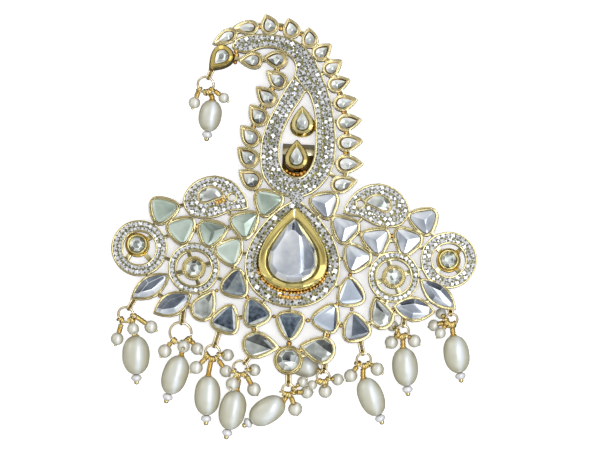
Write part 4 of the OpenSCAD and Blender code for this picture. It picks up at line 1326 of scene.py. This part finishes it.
seedPieces = []
for middle, radius in seeds:
    bead = shapeBead("seed", 2 * radius, 2 * radius, beadLooks["seed"])
    ring = min(rings, key=lambda ring: np.linalg.norm(ring[0] - middle))
    turnTo(roughenBead(bead, beadLooks["seed"]), middle - ringSpot(ring, middle)[0], middle)
    seedPieces.append(paintPearlLight(bead))
keep(joinPieces(seedPieces, "round_seed_pearls"), "seedPearl", "pearl", "seed_pearls")

spacerPieces = []
for middle, way, length in pearls:
    bead = shapeBead("spacer", spacerLook["width"], spacerLook["length"], beadLooks["spacer"])
    spacerPieces.append(paintPearlLight(turnTo(bead, way, middle + way * (length + spacerLook["room"]) / 2)))
keep(joinPieces(spacerPieces, "white_spacers"), "whiteBead", "white_bead", "spacer_beads")


# Clip: the strap's edges eased

clipLook = {"ease": 0.12, "steps": 2, "smooth": 40}
clip = copyNodes(["back_clip"], "strap_clip")
edges = clip.modifiers.new("edges", "BEVEL")
edges.width = clipLook["ease"] * mm
edges.segments = clipLook["steps"]
keep(shadeByAngle(applyModifiers(clip), clipLook["smooth"]), "clipGold", "clip_gold", "back_clip")


# Floor, light and camera

stageLook = {
    "floorSize": 3.0, "floorColour": (0.95, 0.95, 0.95), "wallColour": (1.0, 1.0, 1.0), "glow": 0.46,
    "skyStrength": 0.55, "sky": [    # how bright the studio is from the horizon up to overhead
        (0.0, 0.25), (0.25, 0.5), (0.45, 1.3), (0.6, 1.2), (0.68, 0.35), (0.78, 1.3), (0.9, 1.1),
        (0.96, 0.3), (1.0, 0.15)]}


def layFloor():
    bpy.ops.mesh.primitive_plane_add(size=stageLook["floorSize"], location=(0, 0, 0))
    floor = bpy.context.object
    floor.name = "floor"
    paper = newFinish("whitePaper", {"Roughness": 0.7, "Specular IOR Level": 0.2,
                                     "Base Color": (*stageLook["floorColour"], 1),
                                     "Emission Color": (*stageLook["wallColour"], 1),
                                     "Emission Strength": stageLook["glow"]})[0]
    floor.data.materials.append(paper)
    floor.visible_glossy = False    # polished walls mirror the dim room, not the bright table


lampLooks = [    # size and place in metres, power in watts; the front lamp stands beside the camera
    {"name": "front", "place": (0.0, -0.08, 0.8), "size": (0.2, 0.2), "power": 2.3,
     "tint": (1.0, 1.0, 1.0), "glints": False},
    {"name": "strip", "place": (0.16, -0.02, 0.52), "size": (0.6, 0.16), "power": 1.1,
     "tint": (0.93, 0.97, 1.0), "glints": True},
    {"name": "left_box", "place": (-0.5, 0.3, 0.35), "size": (0.4, 0.4), "power": 0.5,
     "tint": (1.0, 0.98, 0.95), "glints": True},
    {"name": "low_box", "place": (0.1, -0.6, 0.4), "size": (0.5, 0.25), "power": 0.3,
     "tint": (1.0, 1.0, 1.0), "glints": True},
]


def hangLamps():
    for look in lampLooks:
        lamp = bpy.data.lights.new(look["name"], "AREA")
        lamp.shape = "RECTANGLE"
        lamp.size, lamp.size_y = look["size"]
        lamp.energy = look["power"]
        lamp.color = look["tint"]
        holder = bpy.data.objects.new(look["name"], lamp)
        bpy.context.scene.collection.objects.link(holder)
        holder.location = look["place"]
        holder.rotation_euler = Vector(look["place"]).to_track_quat("Z", "Y").to_euler()
        holder.visible_glossy = look["glints"]
        holder.visible_camera = False


def paintSky():    # a white studio with a dark card overhead, which only the polished tops see
    world = bpy.data.worlds.new("studio")
    bpy.context.scene.world = world
    world.use_nodes = True
    tree = world.node_tree
    way = addNode(tree, "ShaderNodeTexCoord")
    split = addNode(tree, "ShaderNodeSeparateXYZ")
    tree.links.new(way.outputs["Generated"], split.inputs["Vector"])
    stops = [(place, (shade, shade, shade)) for place, shade in stageLook["sky"]]
    dome = rampOf(tree, split.outputs["Z"], stops)
    rays = addNode(tree, "ShaderNodeLightPath")
    blend = addNode(tree, "ShaderNodeMix", {"B": (*stageLook["wallColour"], 1)}, data_type="RGBA")
    tree.links.new(rays.outputs["Is Camera Ray"], blend.inputs["Factor"])
    tree.links.new(dome, blend.inputs["A"])
    glow = tree.nodes["Background"].inputs
    tree.links.new(blend.outputs["Result"], glow["Color"])
    glow["Strength"].default_value = stageLook["skyStrength"]


cameraLook = {"target": (1.4, 8.65, 9.0), "fieldWidth": 167.5, "lens": 200.0, "tilt": 6.0, "roll": 2.8}


def aimCamera():
    camera = bpy.data.cameras.new("camera")
    camera.lens = cameraLook["lens"]
    away = cameraLook["fieldWidth"] * mm * camera.lens / camera.sensor_width
    tilt, roll = math.radians(cameraLook["tilt"]), math.radians(cameraLook["roll"])
    back = Vector((0, -math.sin(tilt), math.cos(tilt)))
    upward = Vector((-math.sin(roll), math.cos(roll), 0))
    side = upward.cross(back).normalized()
    holder = bpy.data.objects.new("camera", camera)
    bpy.context.scene.collection.objects.link(holder)
    turn = Matrix((side, back.cross(side), back)).transposed()
    holder.matrix_world = Matrix.Translation(Vector(cameraLook["target"]) * mm + back * away) @ turn.to_4x4()
    camera.clip_start = 0.01
    bpy.context.scene.camera = holder


layFloor()
hangLamps()
paintSky()
aimCamera()
bpy.context.scene.view_settings.view_transform = "Standard"
print("stage: floor, lamps and camera")

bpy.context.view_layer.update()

for piece, slotName, nodes in kept:
    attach(piece, "root")
    if nodes:
        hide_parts(*nodes)
